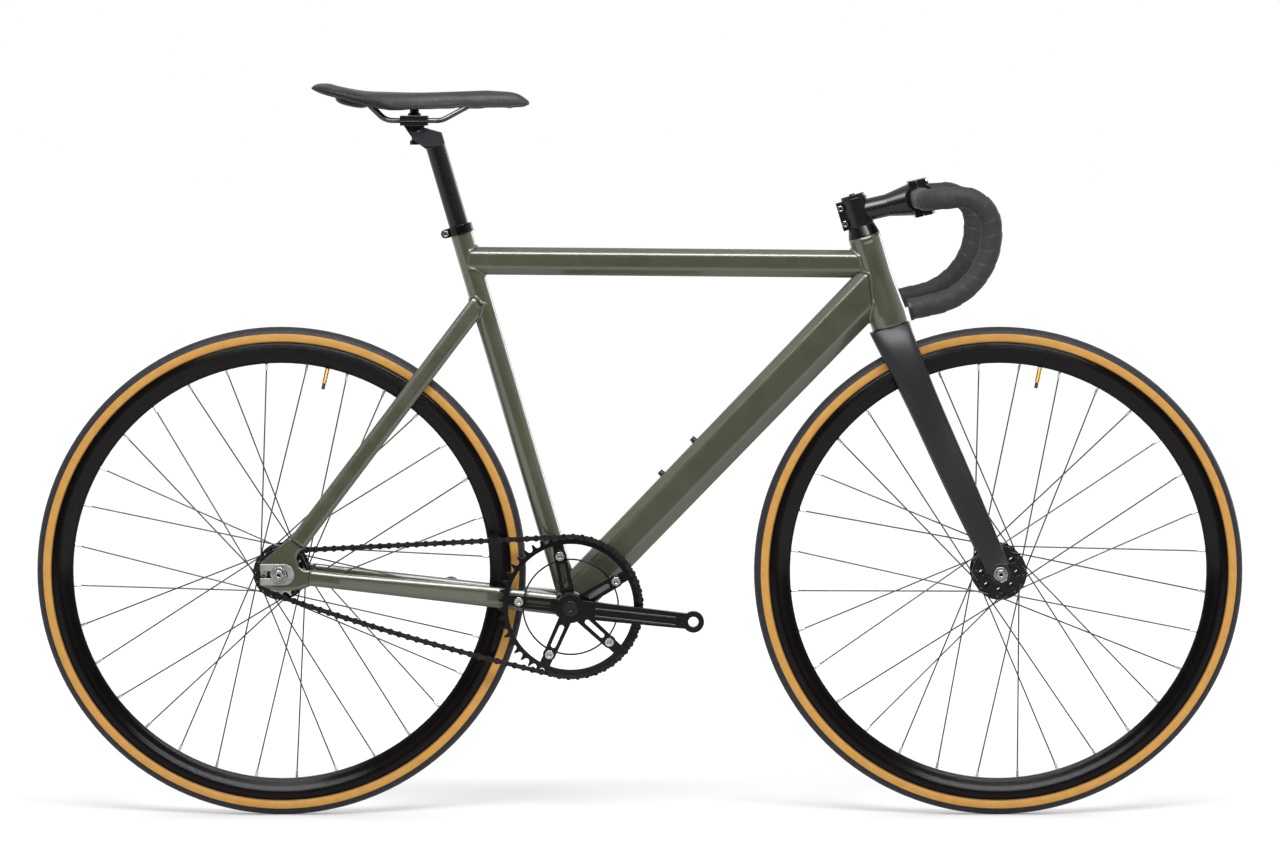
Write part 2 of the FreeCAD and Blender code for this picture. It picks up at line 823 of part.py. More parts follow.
def make_tyre(axle):
    """Tyre with two beads that sit between the rim's lips."""
    bead = rim_width / 2 - rim_wall - seat_gap
    bead_in = bead - bead_width
    lip = rim_outer_radius + seat_gap
    outer = tyre_width / 2
    inner = outer - tyre_wall
    drop = tyre_middle_radius - lip
    flare = math.sqrt(outer ** 2 - drop ** 2)
    waist = tyre_middle_radius - math.sqrt(inner ** 2 - bead_in ** 2)

    def at(lateral, radius):
        return wheel_point(axle, lateral, radius)

    crest = tyre_middle_radius + inner
    edges = [
        Part.makeLine(at(-bead_in, bead_radius), at(-bead, bead_radius)),
        Part.makeLine(at(-bead, bead_radius), at(-bead, lip)),
        Part.makeLine(at(-bead, lip), at(-flare, lip)),
        Part.Arc(at(-flare, lip), at(-outer, tyre_middle_radius), at(0, tyre_radius)).toShape(),
        Part.Arc(at(0, tyre_radius), at(outer, tyre_middle_radius), at(flare, lip)).toShape(),
        Part.makeLine(at(flare, lip), at(bead, lip)),
        Part.makeLine(at(bead, lip), at(bead, bead_radius)),
        Part.makeLine(at(bead, bead_radius), at(bead_in, bead_radius)),
        Part.makeLine(at(bead_in, bead_radius), at(bead_in, waist)),
        Part.Arc(at(bead_in, waist), at(inner, tyre_middle_radius), at(0, crest)).toShape(),
        Part.Arc(at(0, crest), at(-inner, tyre_middle_radius), at(-bead_in, waist)).toShape(),
        Part.makeLine(at(-bead_in, waist), at(-bead_in, bead_radius)),
    ]
    return turned_section(axle, edges)


def make_inner_tube(axle, valve_angle):
    """Air tube inside the tyre, with the valve that comes out through the rim."""
    skin = tyre_width / 2 - tyre_wall - tube_gap
    outer = Part.makeTorus(tyre_middle_radius, skin, axle, LEFT)
    root = polar(axle, tyre_middle_radius - skin + tube_wall / 2, valve_angle, 0)
    cap_seat = polar(axle, rim_inner_radius - valve_length + valve_cap_length, valve_angle, 0)
    tip = polar(axle, rim_inner_radius - valve_length, valve_angle, 0)
    stem = rod(root, cap_seat, valve_radius)
    cap = rod(cap_seat, tip, valve_cap_radius)
    air = Part.makeTorus(tyre_middle_radius, skin - tube_wall, axle, LEFT)
    return fused([outer, stem, cap]).cut(air)


def spoke_lines(axle, flange_offset, valve_angle):
    """Hub end, rim end and lateral sign for every spoke of a wheel."""
    per_flange = spoke_count // 2
    step = 360 / per_flange
    lead = spoke_crosses * step
    run = math.sqrt(flange_radius ** 2 - flange_hole_circle ** 2)
    lean = flange_offset / (rim_inner_radius - flange_hole_circle)
    first = valve_angle + step / 4
    lines = []
    for side in SIDES.values():
        shift = 0 if side < 0 else step / 2
        for index in range(per_flange):
            outside = index % 2 == 0
            rim_angle = first + shift + index * step
            hub_angle = rim_angle + lead if outside else rim_angle - lead
            stand = flange_thickness / 2 + spoke_radius + seat_gap
            stand = stand + run * lean if outside else -stand
            elbow = polar(axle, flange_hole_circle, hub_angle, side * (flange_offset + stand))
            end = polar(axle, rim_inner_radius - nipple_seat, rim_angle, side * rim_hole_offset)
            lines.append((elbow, end, side, outside))
    return lines


def make_spokes(lines, flange_offset):
    """Spokes with an elbow and a head through the hub flange."""
    spokes = []
    for elbow, end, side, outside in lines:
        way = (end - elbow).normalize()
        shank = rod(elbow, end - way * (nipple_length / 3), spoke_radius)
        out = LEFT * (side if outside else -side)
        far = V(elbow.x, side * flange_offset, elbow.z) - out * (flange_thickness / 2 + seat_gap)
        throat = rod(far, elbow + out * spoke_radius, spoke_elbow_radius)
        head = rod(far - out * spoke_head_height, far, spoke_head_radius)
        spokes.append(fused([shank, throat, head]))
    return Part.makeCompound(spokes)


def make_nipples(lines):
    """Nipples that hold the spokes' ends at the rim."""
    nipples = []
    for elbow, end, _, _ in lines:
        way = (elbow - end).normalize()
        nipples.append(ring(end, way, nipple_length, nipple_radius, spoke_radius + seat_gap))
    return Part.makeCompound(nipples)


def make_hub(axle, half_width, flange_offset, lines, seat_radius, boss_end):
    """Hub shell with two high flanges, bearing seats and spoke holes."""
    end = half_width - hub_end_inset
    inner = flange_offset - flange_thickness / 2
    outer = flange_offset + flange_thickness / 2
    seat = end - hub_bearing_width
    half = [
        (inner, hub_barrel_radius), (inner, flange_radius), (outer, flange_radius),
        (outer, seat_radius), (boss_end, seat_radius), (boss_end, hub_neck_radius),
        (end, hub_neck_radius), (end, hub_bearing_radius + seat_gap),
        (seat, hub_bearing_radius + seat_gap), (seat, hub_bore_radius),
    ]
    corners = half + [(-along, radius) for along, radius in reversed(half)]
    hub = turned(corners, axle, LEFT, UP)
    holes = []
    for elbow, _, side, _ in lines:
        spot = V(elbow.x, 0, elbow.z)
        span = LEFT * (side * (outer + overrun))
        start = spot + LEFT * (side * (inner - overrun))
        holes.append(rod(start, spot + span, spoke_elbow_radius + spoke_hole_gap))
    for index in range(hub_slot_count):
        angle = 360 * index / hub_slot_count
        spot = polar(axle, hub_slot_circle, angle, 0)
        holes.append(rod(spot - LEFT * (outer + overrun), spot - LEFT * (inner - overrun), hub_slot_radius))
        holes.append(rod(spot + LEFT * (inner - overrun), spot + LEFT * (outer + overrun), hub_slot_radius))
    return hub.cut(Part.makeCompound(holes))


def make_hub_bearings(axle, half_width):
    """Two sealed bearings, one in each end of a hub."""
    start = half_width - hub_end_inset - hub_bearing_width
    rings = []
    for side in SIDES.values():
        rings.append(ring(axle + LEFT * (side * start), LEFT * side, hub_bearing_width,
                          hub_bearing_radius, axle_radius + running_gap))
    return Part.makeCompound(rings)


def make_axle(axle, half_width, reach):
    """Axle with a shoulder at each side that bears on the frame or fork."""
    pieces = [rod(axle - LEFT * reach, axle + LEFT * reach, axle_radius)]
    shoulder = half_width - hub_end_inset + axle_shoulder_gap
    for side in SIDES.values():
        pieces.append(rod(axle + LEFT * (side * shoulder), axle + LEFT * (side * half_width),
                          axle_shoulder_radius))
    return fused(pieces)


def make_axle_bolts(axle, seat, washer_radius):
    """Washer and socket bolt on each end of an axle."""
    bolts = []
    for side in SIDES.values():
        out = LEFT * side
        face = axle + out * seat
        washer = Part.makeCylinder(washer_radius, washer_thickness, face, out)
        head = socket_head(face + out * washer_thickness, out, axle_bolt_head_radius, axle_bolt_head_height,
                           axle_socket_radius, axle_socket_depth)
        bolts.append(fused([washer, head]))
    return Part.makeCompound(bolts)


def add_wheel(name, axle, half_width, flange_offset, valve_angle, seat_radius, boss_end):
    """All the pieces that turn with one wheel."""
    lines = spoke_lines(axle, flange_offset, valve_angle)
    parts[name + "_tyre"] = make_tyre(axle)
    parts[name + "_inner_tube"] = make_inner_tube(axle, valve_angle)
    parts[name + "_rim"] = make_rim(axle, valve_angle)
    parts[name + "_spokes"] = make_spokes(lines, flange_offset)
    parts[name + "_nipples"] = make_nipples(lines)
    parts[name + "_hub"] = make_hub(axle, half_width, flange_offset, lines, seat_radius, boss_end)
    parts[name + "_hub_bearings"] = make_hub_bearings(axle, half_width)


cog_outer_face = chain_line + tooth_width / 2
fork_tip_face = front_hub_width / 2 + fork_tip_width
add_wheel("front", front_axle_point, front_hub_width / 2, front_flange_offset, front_valve_angle,
          hub_end_radius, front_flange_offset + hub_bearing_width)
add_wheel("rear", rear_axle_point, rear_hub_width / 2, rear_flange_offset, rear_valve_angle,
          cog_bore_radius - seat_gap, cog_outer_face + lockring_width)
parts["front_axle"] = make_axle(front_axle_point, front_hub_width / 2, fork_tip_face)
parts["rear_axle"] = make_axle(rear_axle_point, rear_hub_width / 2, plate_face + plate_thickness)
parts["front_axle_bolts"] = make_axle_bolts(front_axle_point, fork_tip_face, front_washer_radius)
parts["rear_axle_bolts"] = make_axle_bolts(rear_axle_point, plate_face + plate_thickness, rear_washer_radius)


# Chain line: rollers seated on both sprockets, joined by two runs
def pitch_radius(teeth):
    """Radius through the roller centres of a sprocket."""
    return chain_pitch / (2 * math.sin(math.pi / teeth))


def solve(low, high, wanted, measure):
    """Value between two limits where a steadily changing measure is as wanted."""
    rising = measure(high) > measure(low)
    for _ in range(solving_steps):
        middle = (low + high) / 2
        if (measure(middle) < wanted) == rising:
            low = middle
        else:
            high = middle
    return (low + high) / 2


ring_pitch_radius = pitch_radius(ring_teeth)
cog_pitch_radius = pitch_radius(cog_teeth)
ring_step = 360 / ring_teeth
cog_step = 360 / cog_teeth
chain_lean = math.degrees(math.asin((ring_pitch_radius - cog_pitch_radius) / chainstay_length))
leave_angle = climb(chainstay_way) + 90 + chain_lean
upper_tangent = math.sqrt(chainstay_length ** 2 - (ring_pitch_radius - cog_pitch_radius) ** 2)
upper_links = math.floor(upper_tangent / chain_pitch)
cog_first = polar(rear_axle_point, cog_pitch_radius, leave_angle, 0)


def upper_run(past):
    """Length of the upper run when the ring holds the chain past its tangent."""
    return (polar(bb_point, ring_pitch_radius, leave_angle + past, 0) - cog_first).Length


ring_past = solve(0, 2 * ring_step, upper_links * chain_pitch, upper_run)
ring_wrap = math.ceil((180 + 2 * chain_lean + ring_past) / ring_step)
cog_wrap = math.ceil((180 - 2 * chain_lean) / cog_step)
ring_phase = leave_angle + ring_past
cog_phase = leave_angle
lower_back = polar(rear_axle_point, cog_pitch_radius, cog_phase + cog_wrap * cog_step, 0)
lower_front = polar(bb_point, ring_pitch_radius, ring_phase - ring_wrap * ring_step, 0)
lower_span = lower_front - lower_back
lower_links = math.ceil(lower_span.Length / chain_pitch)
lower_links = lower_links + (lower_links + upper_links + ring_wrap + cog_wrap) % 2


def sagged_span(turn):
    """Span of the lower run when each link turns a little against the last."""
    half = math.radians(turn) / 2
    return chain_pitch * math.sin(lower_links * half) / math.sin(half)


def roller_places():
    """Roller centres in order round the loop, starting on the chainring."""
    places = []
    start = polar(bb_point, ring_pitch_radius, ring_phase, 0)
    for index in range(upper_links):
        places.append(start + (cog_first - start) * (index / upper_links))
    for index in range(cog_wrap):
        places.append(polar(rear_axle_point, cog_pitch_radius, cog_phase + index * cog_step, 0))
    smallest = 1 / lower_links ** 3
    turn = solve(smallest, widest_sag_turn / lower_links, lower_span.Length, sagged_span)
    spot = lower_back
    angle = climb(lower_span) - turn * (lower_links - 1) / 2
    for index in range(lower_links):
        places.append(spot)
        spot = spot + heading(angle + index * turn) * chain_pitch
    for index in range(ring_wrap):
        places.append(polar(bb_point, ring_pitch_radius, ring_phase - (ring_wrap - index) * ring_step, 0))
    return places


def link_plate(inner_face):
    """Waisted side plate of a link, lying along X from the first roller."""
    end = chain_plate_height / 2
    waist = chain_waist_height / 2
    shoulder = math.sqrt(end ** 2 - waist ** 2)
    far = FORWARD * chain_pitch
    edges = [
        Part.Arc(FORWARD * shoulder + UP * waist, FORWARD * -end, FORWARD * shoulder - UP * waist).toShape(),
        Part.makeLine(FORWARD * shoulder - UP * waist, far - FORWARD * shoulder - UP * waist),
        Part.Arc(far - FORWARD * shoulder - UP * waist, far + FORWARD * end,
                 far - FORWARD * shoulder + UP * waist).toShape(),
        Part.makeLine(far - FORWARD * shoulder + UP * waist, FORWARD * shoulder + UP * waist),
    ]
    face = Part.Face(Part.Wire(edges))
    face.translate(LEFT * inner_face)
    return face.extrude(LEFT * math.copysign(chain_plate, inner_face))


inner_plate_face = chain_inner_width / 2
outer_plate_face = inner_plate_face + chain_plate + chain_plate_gap
pin_reach = outer_plate_face + chain_plate + chain_pin_stub


def make_inner_link():
    """Two inner plates on two rollers, bored for the pins."""
    pieces = [link_plate(inner_plate_face), link_plate(-inner_plate_face)]
    bores = []
    for spot in (V(), FORWARD * chain_pitch):
        pieces.append(rod(spot - LEFT * inner_plate_face, spot + LEFT * inner_plate_face, roller_radius))
        bores.append(rod(spot - LEFT * pin_reach, spot + LEFT * pin_reach, chain_pin_radius + seat_gap))
    return fused(pieces).cut(Part.makeCompound(bores))


def make_outer_link():
    """Two outer plates on two pins."""
    pieces = [link_plate(outer_plate_face), link_plate(-outer_plate_face)]
    for spot in (V(), FORWARD * chain_pitch):
        pieces.append(rod(spot - LEFT * pin_reach, spot + LEFT * pin_reach, chain_pin_radius))
    return fused(pieces)


def make_chain():
    """Inner and outer links in turn round the loop."""
    places = roller_places()
    kinds = (make_inner_link(), make_outer_link())
    links = ([], [])
    for index, spot in enumerate(places):
        ahead = places[(index + 1) % len(places)] - spot
        link = kinds[index % 2].copy()
        turn = FreeCAD.Rotation(LEFT, -climb(ahead))
        link.Placement = FreeCAD.Placement(spot - LEFT * chain_line, turn)
        links[index % 2].append(link)
    return [Part.makeCompound(group) for group in links]


def toothed_plate(centre, teeth, phase, lateral):
    """Disc with teeth whose seats take the rollers, facing outwards from a lateral place."""
    radius = pitch_radius(teeth)
    step = 360 / teeth
    seat = roller_radius + tooth_seat_gap
    tip = radius + tooth_height
    tip_half = math.degrees(tooth_tip_width / 2 / tip)
    edges = []
    for index in range(teeth):
        angle = phase + index * step
        middle = polar(centre, radius, angle, lateral)
        inward = angle + 180
        start = middle + heading(inward + tooth_seat_spread) * seat
        floor = middle + heading(inward) * seat
        end = middle + heading(inward - tooth_seat_spread) * seat
        before = polar(centre, tip, angle - step / 2 + tip_half, lateral)
        after = polar(centre, tip, angle + step / 2 - tip_half, lateral)
        following = polar(centre, tip, angle + step / 2 + tip_half, lateral)
        edges.append(Part.makeLine(before, start))
        edges.append(Part.Arc(start, floor, end).toShape())
        edges.append(Part.makeLine(end, after))
        edges.append(Part.makeLine(after, following))
    return Part.Face(Part.Wire(edges)).extrude(LEFT * -tooth_width)


chain_inner_face = chain_line - tooth_width / 2


def make_sprocket():
    """Fixed sprocket with a wider body, bored for the hub."""
    plate = toothed_plate(rear_axle_point, cog_teeth, cog_phase, -chain_inner_face)
    body = rod(rear_axle_point - LEFT * (chain_inner_face - cog_body_width),
               rear_axle_point - LEFT * chain_inner_face, cog_body_radius)
    bore = rod(rear_axle_point, rear_axle_point - LEFT * 2 * chain_line, cog_bore_radius)
    return fused([plate, body]).cut(bore)


def make_lockring():
    """Ring that locks the sprocket on the hub."""
    start = rear_axle_point - LEFT * cog_outer_face
    return ring(start, LEFT * -1, lockring_width, lockring_radius, cog_bore_radius)


chain_inner, chain_outer = make_chain()
parts["chain_inner_links"] = chain_inner
parts["chain_outer_links"] = chain_outer
parts["sprocket"] = make_sprocket()
parts["sprocket_lockring"] = make_lockring()


# Cranks
crank_way = heading(crank_angle)
spider_face = cog_outer_face + spider_thickness


def arm_slab(way, root, tip, length, outer, thickness):
    """Tapered bar in the side plane, from the bottom bracket out along a heading."""
    up = heading(climb(way) + 90)
    corners = [bb_point - up * (root / 2), bb_point + way * length - up * (tip / 2),
               bb_point + way * length + up * (tip / 2), bb_point + up * (root / 2)]
    return slab(corners, outer, thickness)


def long_slot(way, start, end, width, side, lateral, depth):
    """Round ended cut along an arm, offset to one side of it."""
    shift = heading(climb(way) + 90) * side
    first = bb_point + way * start + shift - LEFT * lateral
    last = bb_point + way * end + shift - LEFT * lateral
    up = heading(climb(way) + 90) * (width / 2)
    middle = Part.Face(Part.makePolygon([first - up, last - up, last + up, first + up, first - up]))
    ends = [Part.makeCylinder(width / 2, depth, spot, LEFT) for spot in (first, last)]
    return fused([middle.extrude(LEFT * depth)] + ends)


def crank_body(way, side):
    """Arm, boss and pedal eye of one crank, before its holes."""
    eye = bb_point + way * crank_length
    inner = crank_face_offset - crank_arm_thickness
    outer = LEFT * (side * crank_face_offset)
    lateral = inner if side > 0 else -crank_face_offset
    return [
        rod(bb_point + LEFT * (side * crank_boss_start), bb_point + outer, crank_boss_radius),
        arm_slab(way, crank_arm_root_width, crank_arm_tip_width, crank_length, lateral, crank_arm_thickness),
        rod(eye + LEFT * (side * inner), eye + outer, crank_eye_radius),
    ]


def crank_holes(way, side):
    """Spindle bore, bolt hole, pedal thread and flutes of one crank."""
    eye = bb_point + way * crank_length
    up = heading(climb(way) + 90)
    out = LEFT * side
    holes = [
        rod(bb_point, bb_point + out * (spindle_reach + seat_gap), spindle_radius + seat_gap),
        rod(bb_point, bb_point + out * (crank_face_offset + overrun), crank_bolt_radius + seat_gap),
        rod(eye, eye + out * (crank_face_offset + overrun), pedal_thread_radius),
    ]
    for sign in SIDES.values():
        shift = up * (sign * crank_flute_offset) + out * (crank_face_offset + crank_flute_radius / 3)
        holes.append(rod(bb_point + way * crank_flute_start + shift, bb_point + way * crank_flute_end + shift,
                         crank_flute_radius))
    return holes


def spider_ways():
    """Headings of the chainring arms, with the crank midway between two of them."""
    step = 360 / ring_bolt_count
    return [heading(crank_angle + step / 2 + index * step) for index in range(ring_bolt_count)]


def make_right_crank():
    """Right crank with five slotted arms that carry the chainring."""
    pieces = crank_body(crank_way, -1)
    holes = crank_holes(crank_way, -1)
    for way in spider_ways():
        pieces.append(arm_slab(way, spider_root_width, spider_tip_width, ring_bolt_circle, -spider_face,
                               spider_thickness))
        bolt = bb_point + way * ring_bolt_circle
        pieces.append(rod(bolt - LEFT * cog_outer_face, bolt - LEFT * spider_face, spider_tip_width / 2))
        holes.append(rod(bolt, bolt - LEFT * (spider_face + overrun), ring_bolt_radius + seat_gap))
        holes.append(long_slot(way, spider_slot_start, spider_slot_end, spider_slot_width, 0,
                               spider_face + overrun, spider_thickness + 2 * overrun))
    return fused(pieces).cut(Part.makeCompound(holes))


def make_left_crank():
    """Left crank, opposite the right one."""
    way = crank_way * -1
    return fused(crank_body(way, 1)).cut(Part.makeCompound(crank_holes(way, 1)))


def make_spindle():
    """Spindle that joins the two cranks."""
    return rod(bb_point - LEFT * spindle_reach, bb_point + LEFT * spindle_reach, spindle_radius)


def make_crank_bolts():
    """Cap headed bolt in the face of each crank."""
    bolts = []
    for side in SIDES.values():
        out = LEFT * side
        shank_start = bb_point + out * (spindle_reach + seat_gap)
        shank = rod(shank_start, bb_point + out * crank_face_offset, crank_bolt_radius)
        cap = socket_head(bb_point + out * crank_face_offset, out, crank_cap_radius, crank_cap_height,
                          crank_cap_socket_radius, crank_cap_height / 2)
        bolts.append(fused([shank, cap]))
    return Part.makeCompound(bolts)


def make_chainring():
    """Toothed ring with five bolt tabs and a thin inner hoop."""
    back = -chain_inner_face
    front = bb_point - LEFT * (chain_inner_face - overrun)
    teeth = toothed_plate(bb_point, ring_teeth, ring_phase, back)
    window = rod(front, front - LEFT * (tooth_width + 2 * overrun), ring_rim_radius)
    hoop = ring(bb_point - LEFT * chain_inner_face, LEFT * -1, tooth_width,
                ring_hoop_radius + ring_hoop_width / 2, ring_hoop_radius - ring_hoop_width / 2)
    pieces = [teeth.cut(window), hoop]
    holes = []
    for way in spider_ways():
        bolt = bb_point + way * ring_bolt_circle
        up = heading(climb(way) + 90) * (ring_tab_width / 2)
        rim = bb_point + way * (ring_rim_radius + overrun)
        pieces.append(slab([bolt - up, rim - up, rim + up, bolt + up], -cog_outer_face, tooth_width))
        pieces.append(rod(bolt - LEFT * chain_inner_face, bolt - LEFT * cog_outer_face, ring_tab_radius))
        holes.append(rod(bolt, bolt - LEFT * (cog_outer_face + overrun), ring_bolt_radius + seat_gap))
    return fused(pieces).cut(Part.makeCompound(holes))


def make_chainring_bolts():
    """Bolt and sleeve nut through each spider arm and chainring tab."""
    bolts = []
    for way in spider_ways():
        spot = bb_point + way * ring_bolt_circle
        shank = rod(spot - LEFT * chain_inner_face, spot - LEFT * spider_face, ring_bolt_radius)
        head = socket_head(spot - LEFT * spider_face, LEFT * -1, ring_bolt_head_radius, ring_bolt_head_height,
                           ring_bolt_head_radius / 2, ring_bolt_head_height / 2)
        nut_start = spot - LEFT * chain_inner_face
        nut = Part.makeCylinder(ring_bolt_head_radius, ring_bolt_head_height, nut_start, LEFT)
        bolts.append(fused([shank, head, nut]))
    return Part.makeCompound(bolts)


parts["crank_arm_right"] = make_right_crank()
parts["crank_arm_left"] = make_left_crank()
parts["bottom_bracket_spindle"] = make_spindle()
parts["crank_bolts"] = make_crank_bolts()
parts["chainring"] = make_chainring()
parts["chainring_bolts"] = make_chainring_bolts()

# Fork
blade_way = heading(90 + blade_tilt)
blade_out = heading(blade_tilt)
blade_length = (head_foot - front_axle_point).Length
blade_tip_offset = (front_hub_width + fork_tip_width) / 2
blade_root_share = 0.78
blade_station_shares = (0.02, 0.22, 0.50, 0.78)
shoulder_share = 0.90
shoulder_offset_share = 0.25
shoulder_depth_share = 0.5
shoulder_width_share = 0.6
blade_power = 2.6
stem_foot = head_top + steer_up * cover_height
stem_top = stem_foot + steer_up * stem_clamp_height
crown_top = head_foot - steer_up * crown_gap


def between(first, last, share):
    """Value part of the way from one to another."""
    return first + (last - first) * share


def make_blade(side):
    """One wide blade from the crown down to the axle tip."""
    wires = []
    for share in blade_station_shares:
        down = share / blade_root_share
        offset = between(blade_tip_offset, blade_root_offset, down)
        centre = front_axle_point + blade_way * (blade_length * share) + LEFT * (side * offset)
        depth = between(blade_tip_depth, blade_root_depth, down)
        width = between(fork_tip_width, blade_root_width, down)
        wires.append(superellipse(centre, blade_out, LEFT, depth / 2, width / 2, blade_power))
    shoulder_offset = between(blade_root_offset, crown_offset, shoulder_offset_share)
    shoulder = front_axle_point + blade_way * (blade_length * shoulder_share)
    shoulder = shoulder + LEFT * (side * shoulder_offset)
    shoulder_depth = between(blade_root_depth, crown_depth, shoulder_depth_share)
    shoulder_width = between(blade_root_width, crown_width, shoulder_width_share)
    wires.append(superellipse(shoulder, blade_out, LEFT, shoulder_depth / 2, shoulder_width / 2, blade_power))
    crown = crown_top - steer_out * crown_setback + LEFT * (side * crown_offset)
    wires.append(superellipse(crown, steer_out, LEFT, crown_depth / 2, crown_width / 2, blade_power))
    return Part.makeLoft(wires, True, False)


def make_fork():
    """Fork with its steerer tube, crown, two blades and slotted tips."""
    pieces = [
        rod(crown_top - steer_up * crown_thickness, stem_top - steer_up * steerer_recess, steerer_radius),
        rod(crown_top, head_foot + steer_up * (bearing_sink + bearing_height), race_radius),
        rod(crown_top - steer_up * crown_thickness, crown_top, head_tube_foot_radius),
    ]
    cuts = [Part.makeCylinder(tyre_radius + wheel_room, wheel_room_width,
                              front_axle_point - LEFT * (wheel_room_width / 2), LEFT)]
    slot_half = blade_out * (axle_radius + seat_gap)
    slot_low = blade_way * -(fork_tip_radius + overrun)
    slot_span = fork_tip_face + overrun
    for side in SIDES.values():
        pieces.append(make_blade(side))
        inner = front_axle_point + LEFT * (side * front_hub_width / 2)
        pieces.append(rod(inner, front_axle_point + LEFT * (side * fork_tip_face), fork_tip_radius))
    slot_end = LEFT * slot_span
    cuts.append(rod(front_axle_point - slot_end, front_axle_point + slot_end, axle_radius + seat_gap))
    cuts.append(slab([front_axle_point - slot_half, front_axle_point - slot_half + slot_low,
                      front_axle_point + slot_half + slot_low, front_axle_point + slot_half],
                     -slot_span, 2 * slot_span))
    hub_end = LEFT * (front_hub_width / 2)
    cuts.append(rod(front_axle_point - hub_end, front_axle_point + hub_end, fork_tip_radius + overrun))
    fork = fused(pieces)
    for cut in cuts:
        fork = fork.cut(cut)
    return biggest(fork)


def make_headset_cover():
    """Cone that covers the upper bearing, under the stem."""
    corners = [(body_gap, cover_foot_radius), (cover_height, cover_top_radius + faceplate_wall / 2),
               (cover_height, steerer_radius + seat_gap), (body_gap, steerer_radius + seat_gap)]
    return turned(corners, head_top, steer_up, steer_out)


parts["fork"] = make_fork()
parts["headset_cover"] = make_headset_cover()

# Stem
stem_middle = stem_foot + steer_up * (stem_clamp_height / 2)
stem_way = heading(stem_rise)
stem_over = heading(stem_rise + 90)
bar_point = stem_middle + stem_way * stem_length
bar_shell_radius = bar_clamp_radius + faceplate_wall
half_clamp = bar_clamp_width / 2


def bar_clamp_block():
    """Round clamp with upper and lower ears, before it is bored and split."""
    reach = stem_way * stem_ear_depth
    ear = stem_over * stem_ear_half
    corners = [bar_point - reach - ear, bar_point + reach - ear, bar_point + reach + ear, bar_point - reach + ear]
    ears = slab(corners, -half_clamp, bar_clamp_width)
    return fused([rod(bar_point - LEFT * half_clamp, bar_point + LEFT * half_clamp, bar_shell_radius), ears])


def clamp_half(sign):
    """Room in front of the split plane, or behind it."""
    start = bar_point - stem_way * (sign * faceplate_split / 2)
    far = stem_way * (sign * stem_length)
    ear = stem_over * (2 * stem_ear_half)
    corners = [start - ear, start + far - ear, start + far + ear, start + ear]
    return slab(corners, -bar_clamp_width, 2 * bar_clamp_width)


def faceplate_bolt_spots():
    """Places of the four faceplate bolts on the split plane."""
    spots = []
    for rise in SIDES.values():
        for side in SIDES.values():
            level = bar_point + stem_over * (rise * faceplate_bolt_height)
            spots.append(level + LEFT * (side * faceplate_bolt_offset))
    return spots


def stem_back_spots():
    """Places of the two bolts behind the steerer."""
    back = stem_middle - steer_out * (stem_clamp_radius + stem_back_ear / 3)
    return [back + steer_up * (sign * stem_bolt_spacing / 2) for sign in SIDES.values()]


def stem_flare():
    """Cone that widens the neck towards the ears of the bar clamp."""
    return Part.makeCone(stem_neck_radius, stem_flare_radius, stem_flare_length - stem_ear_depth,
                         bar_point - stem_way * stem_flare_length, stem_way)


def make_stem():
    """Stem from the steerer out to the rear half of the bar clamp."""
    back = stem_clamp_radius + stem_back_ear
    lug = slab([stem_foot, stem_foot - steer_out * back, stem_top - steer_out * back, stem_top],
               -stem_back_half, 2 * stem_back_half)
    body = fused([Part.makeCylinder(stem_clamp_radius, stem_clamp_height, stem_foot, steer_up), lug,
                  rod(stem_middle, bar_point, stem_neck_radius), stem_flare(), bar_clamp_block()])
    slit = slab([stem_foot - steer_up * overrun, stem_foot - steer_out * (back + overrun) - steer_up * overrun,
                 stem_top - steer_out * (back + overrun) + steer_up * overrun, stem_top + steer_up * overrun],
                -faceplate_split / 2, faceplate_split)
    cuts = [slit, clamp_half(1),
            rod(stem_foot - steer_up * overrun, stem_top + steer_up * overrun, steerer_radius + seat_gap),
            rod(bar_point - LEFT * bar_clamp_width, bar_point + LEFT * bar_clamp_width,
                bar_clamp_radius + running_gap)]
    for spot in faceplate_bolt_spots():
        cuts.append(rod(spot - stem_way * (stem_ear_depth + overrun), spot, stem_bolt_radius + seat_gap))
    for spot in stem_back_spots():
        cuts.append(rod(spot - LEFT * (stem_back_half + overrun), spot + LEFT * (stem_back_half + overrun),
                        stem_bolt_radius + seat_gap))
    for cut in cuts:
        body = body.cut(cut)
    return biggest(body)


def make_faceplate():
    """Front half of the bar clamp."""
    plate = bar_clamp_block().cut(clamp_half(-1))
    plate = plate.cut(rod(bar_point - LEFT * bar_clamp_width, bar_point + LEFT * bar_clamp_width,
                          bar_clamp_radius + running_gap))
    for spot in faceplate_bolt_spots():
        plate = plate.cut(rod(spot, spot + stem_way * (stem_ear_depth + overrun), stem_bolt_radius + seat_gap))
    return biggest(plate)


def make_stem_bolts():
    """Four faceplate bolts and two bolts behind the steerer."""
    bolts = []
    for spot in faceplate_bolt_spots():
        front = spot + stem_way * stem_ear_depth
        shank = rod(spot - stem_way * stem_ear_depth, front, stem_bolt_radius)
        head = socket_head(front, stem_way, stem_bolt_head_radius, stem_bolt_head_height,
                           stem_bolt_radius, stem_bolt_head_height / 2)
        bolts.append(fused([shank, head]))
    for spot in stem_back_spots():
        near = spot - LEFT * stem_back_half
        shank = rod(near, spot + LEFT * stem_back_half, stem_bolt_radius)
        head = socket_head(near, LEFT * -1, stem_bolt_head_radius, stem_bolt_head_height,
                           stem_bolt_radius, stem_bolt_head_height / 2)
        bolts.append(fused([shank, head]))
    return Part.makeCompound(bolts)


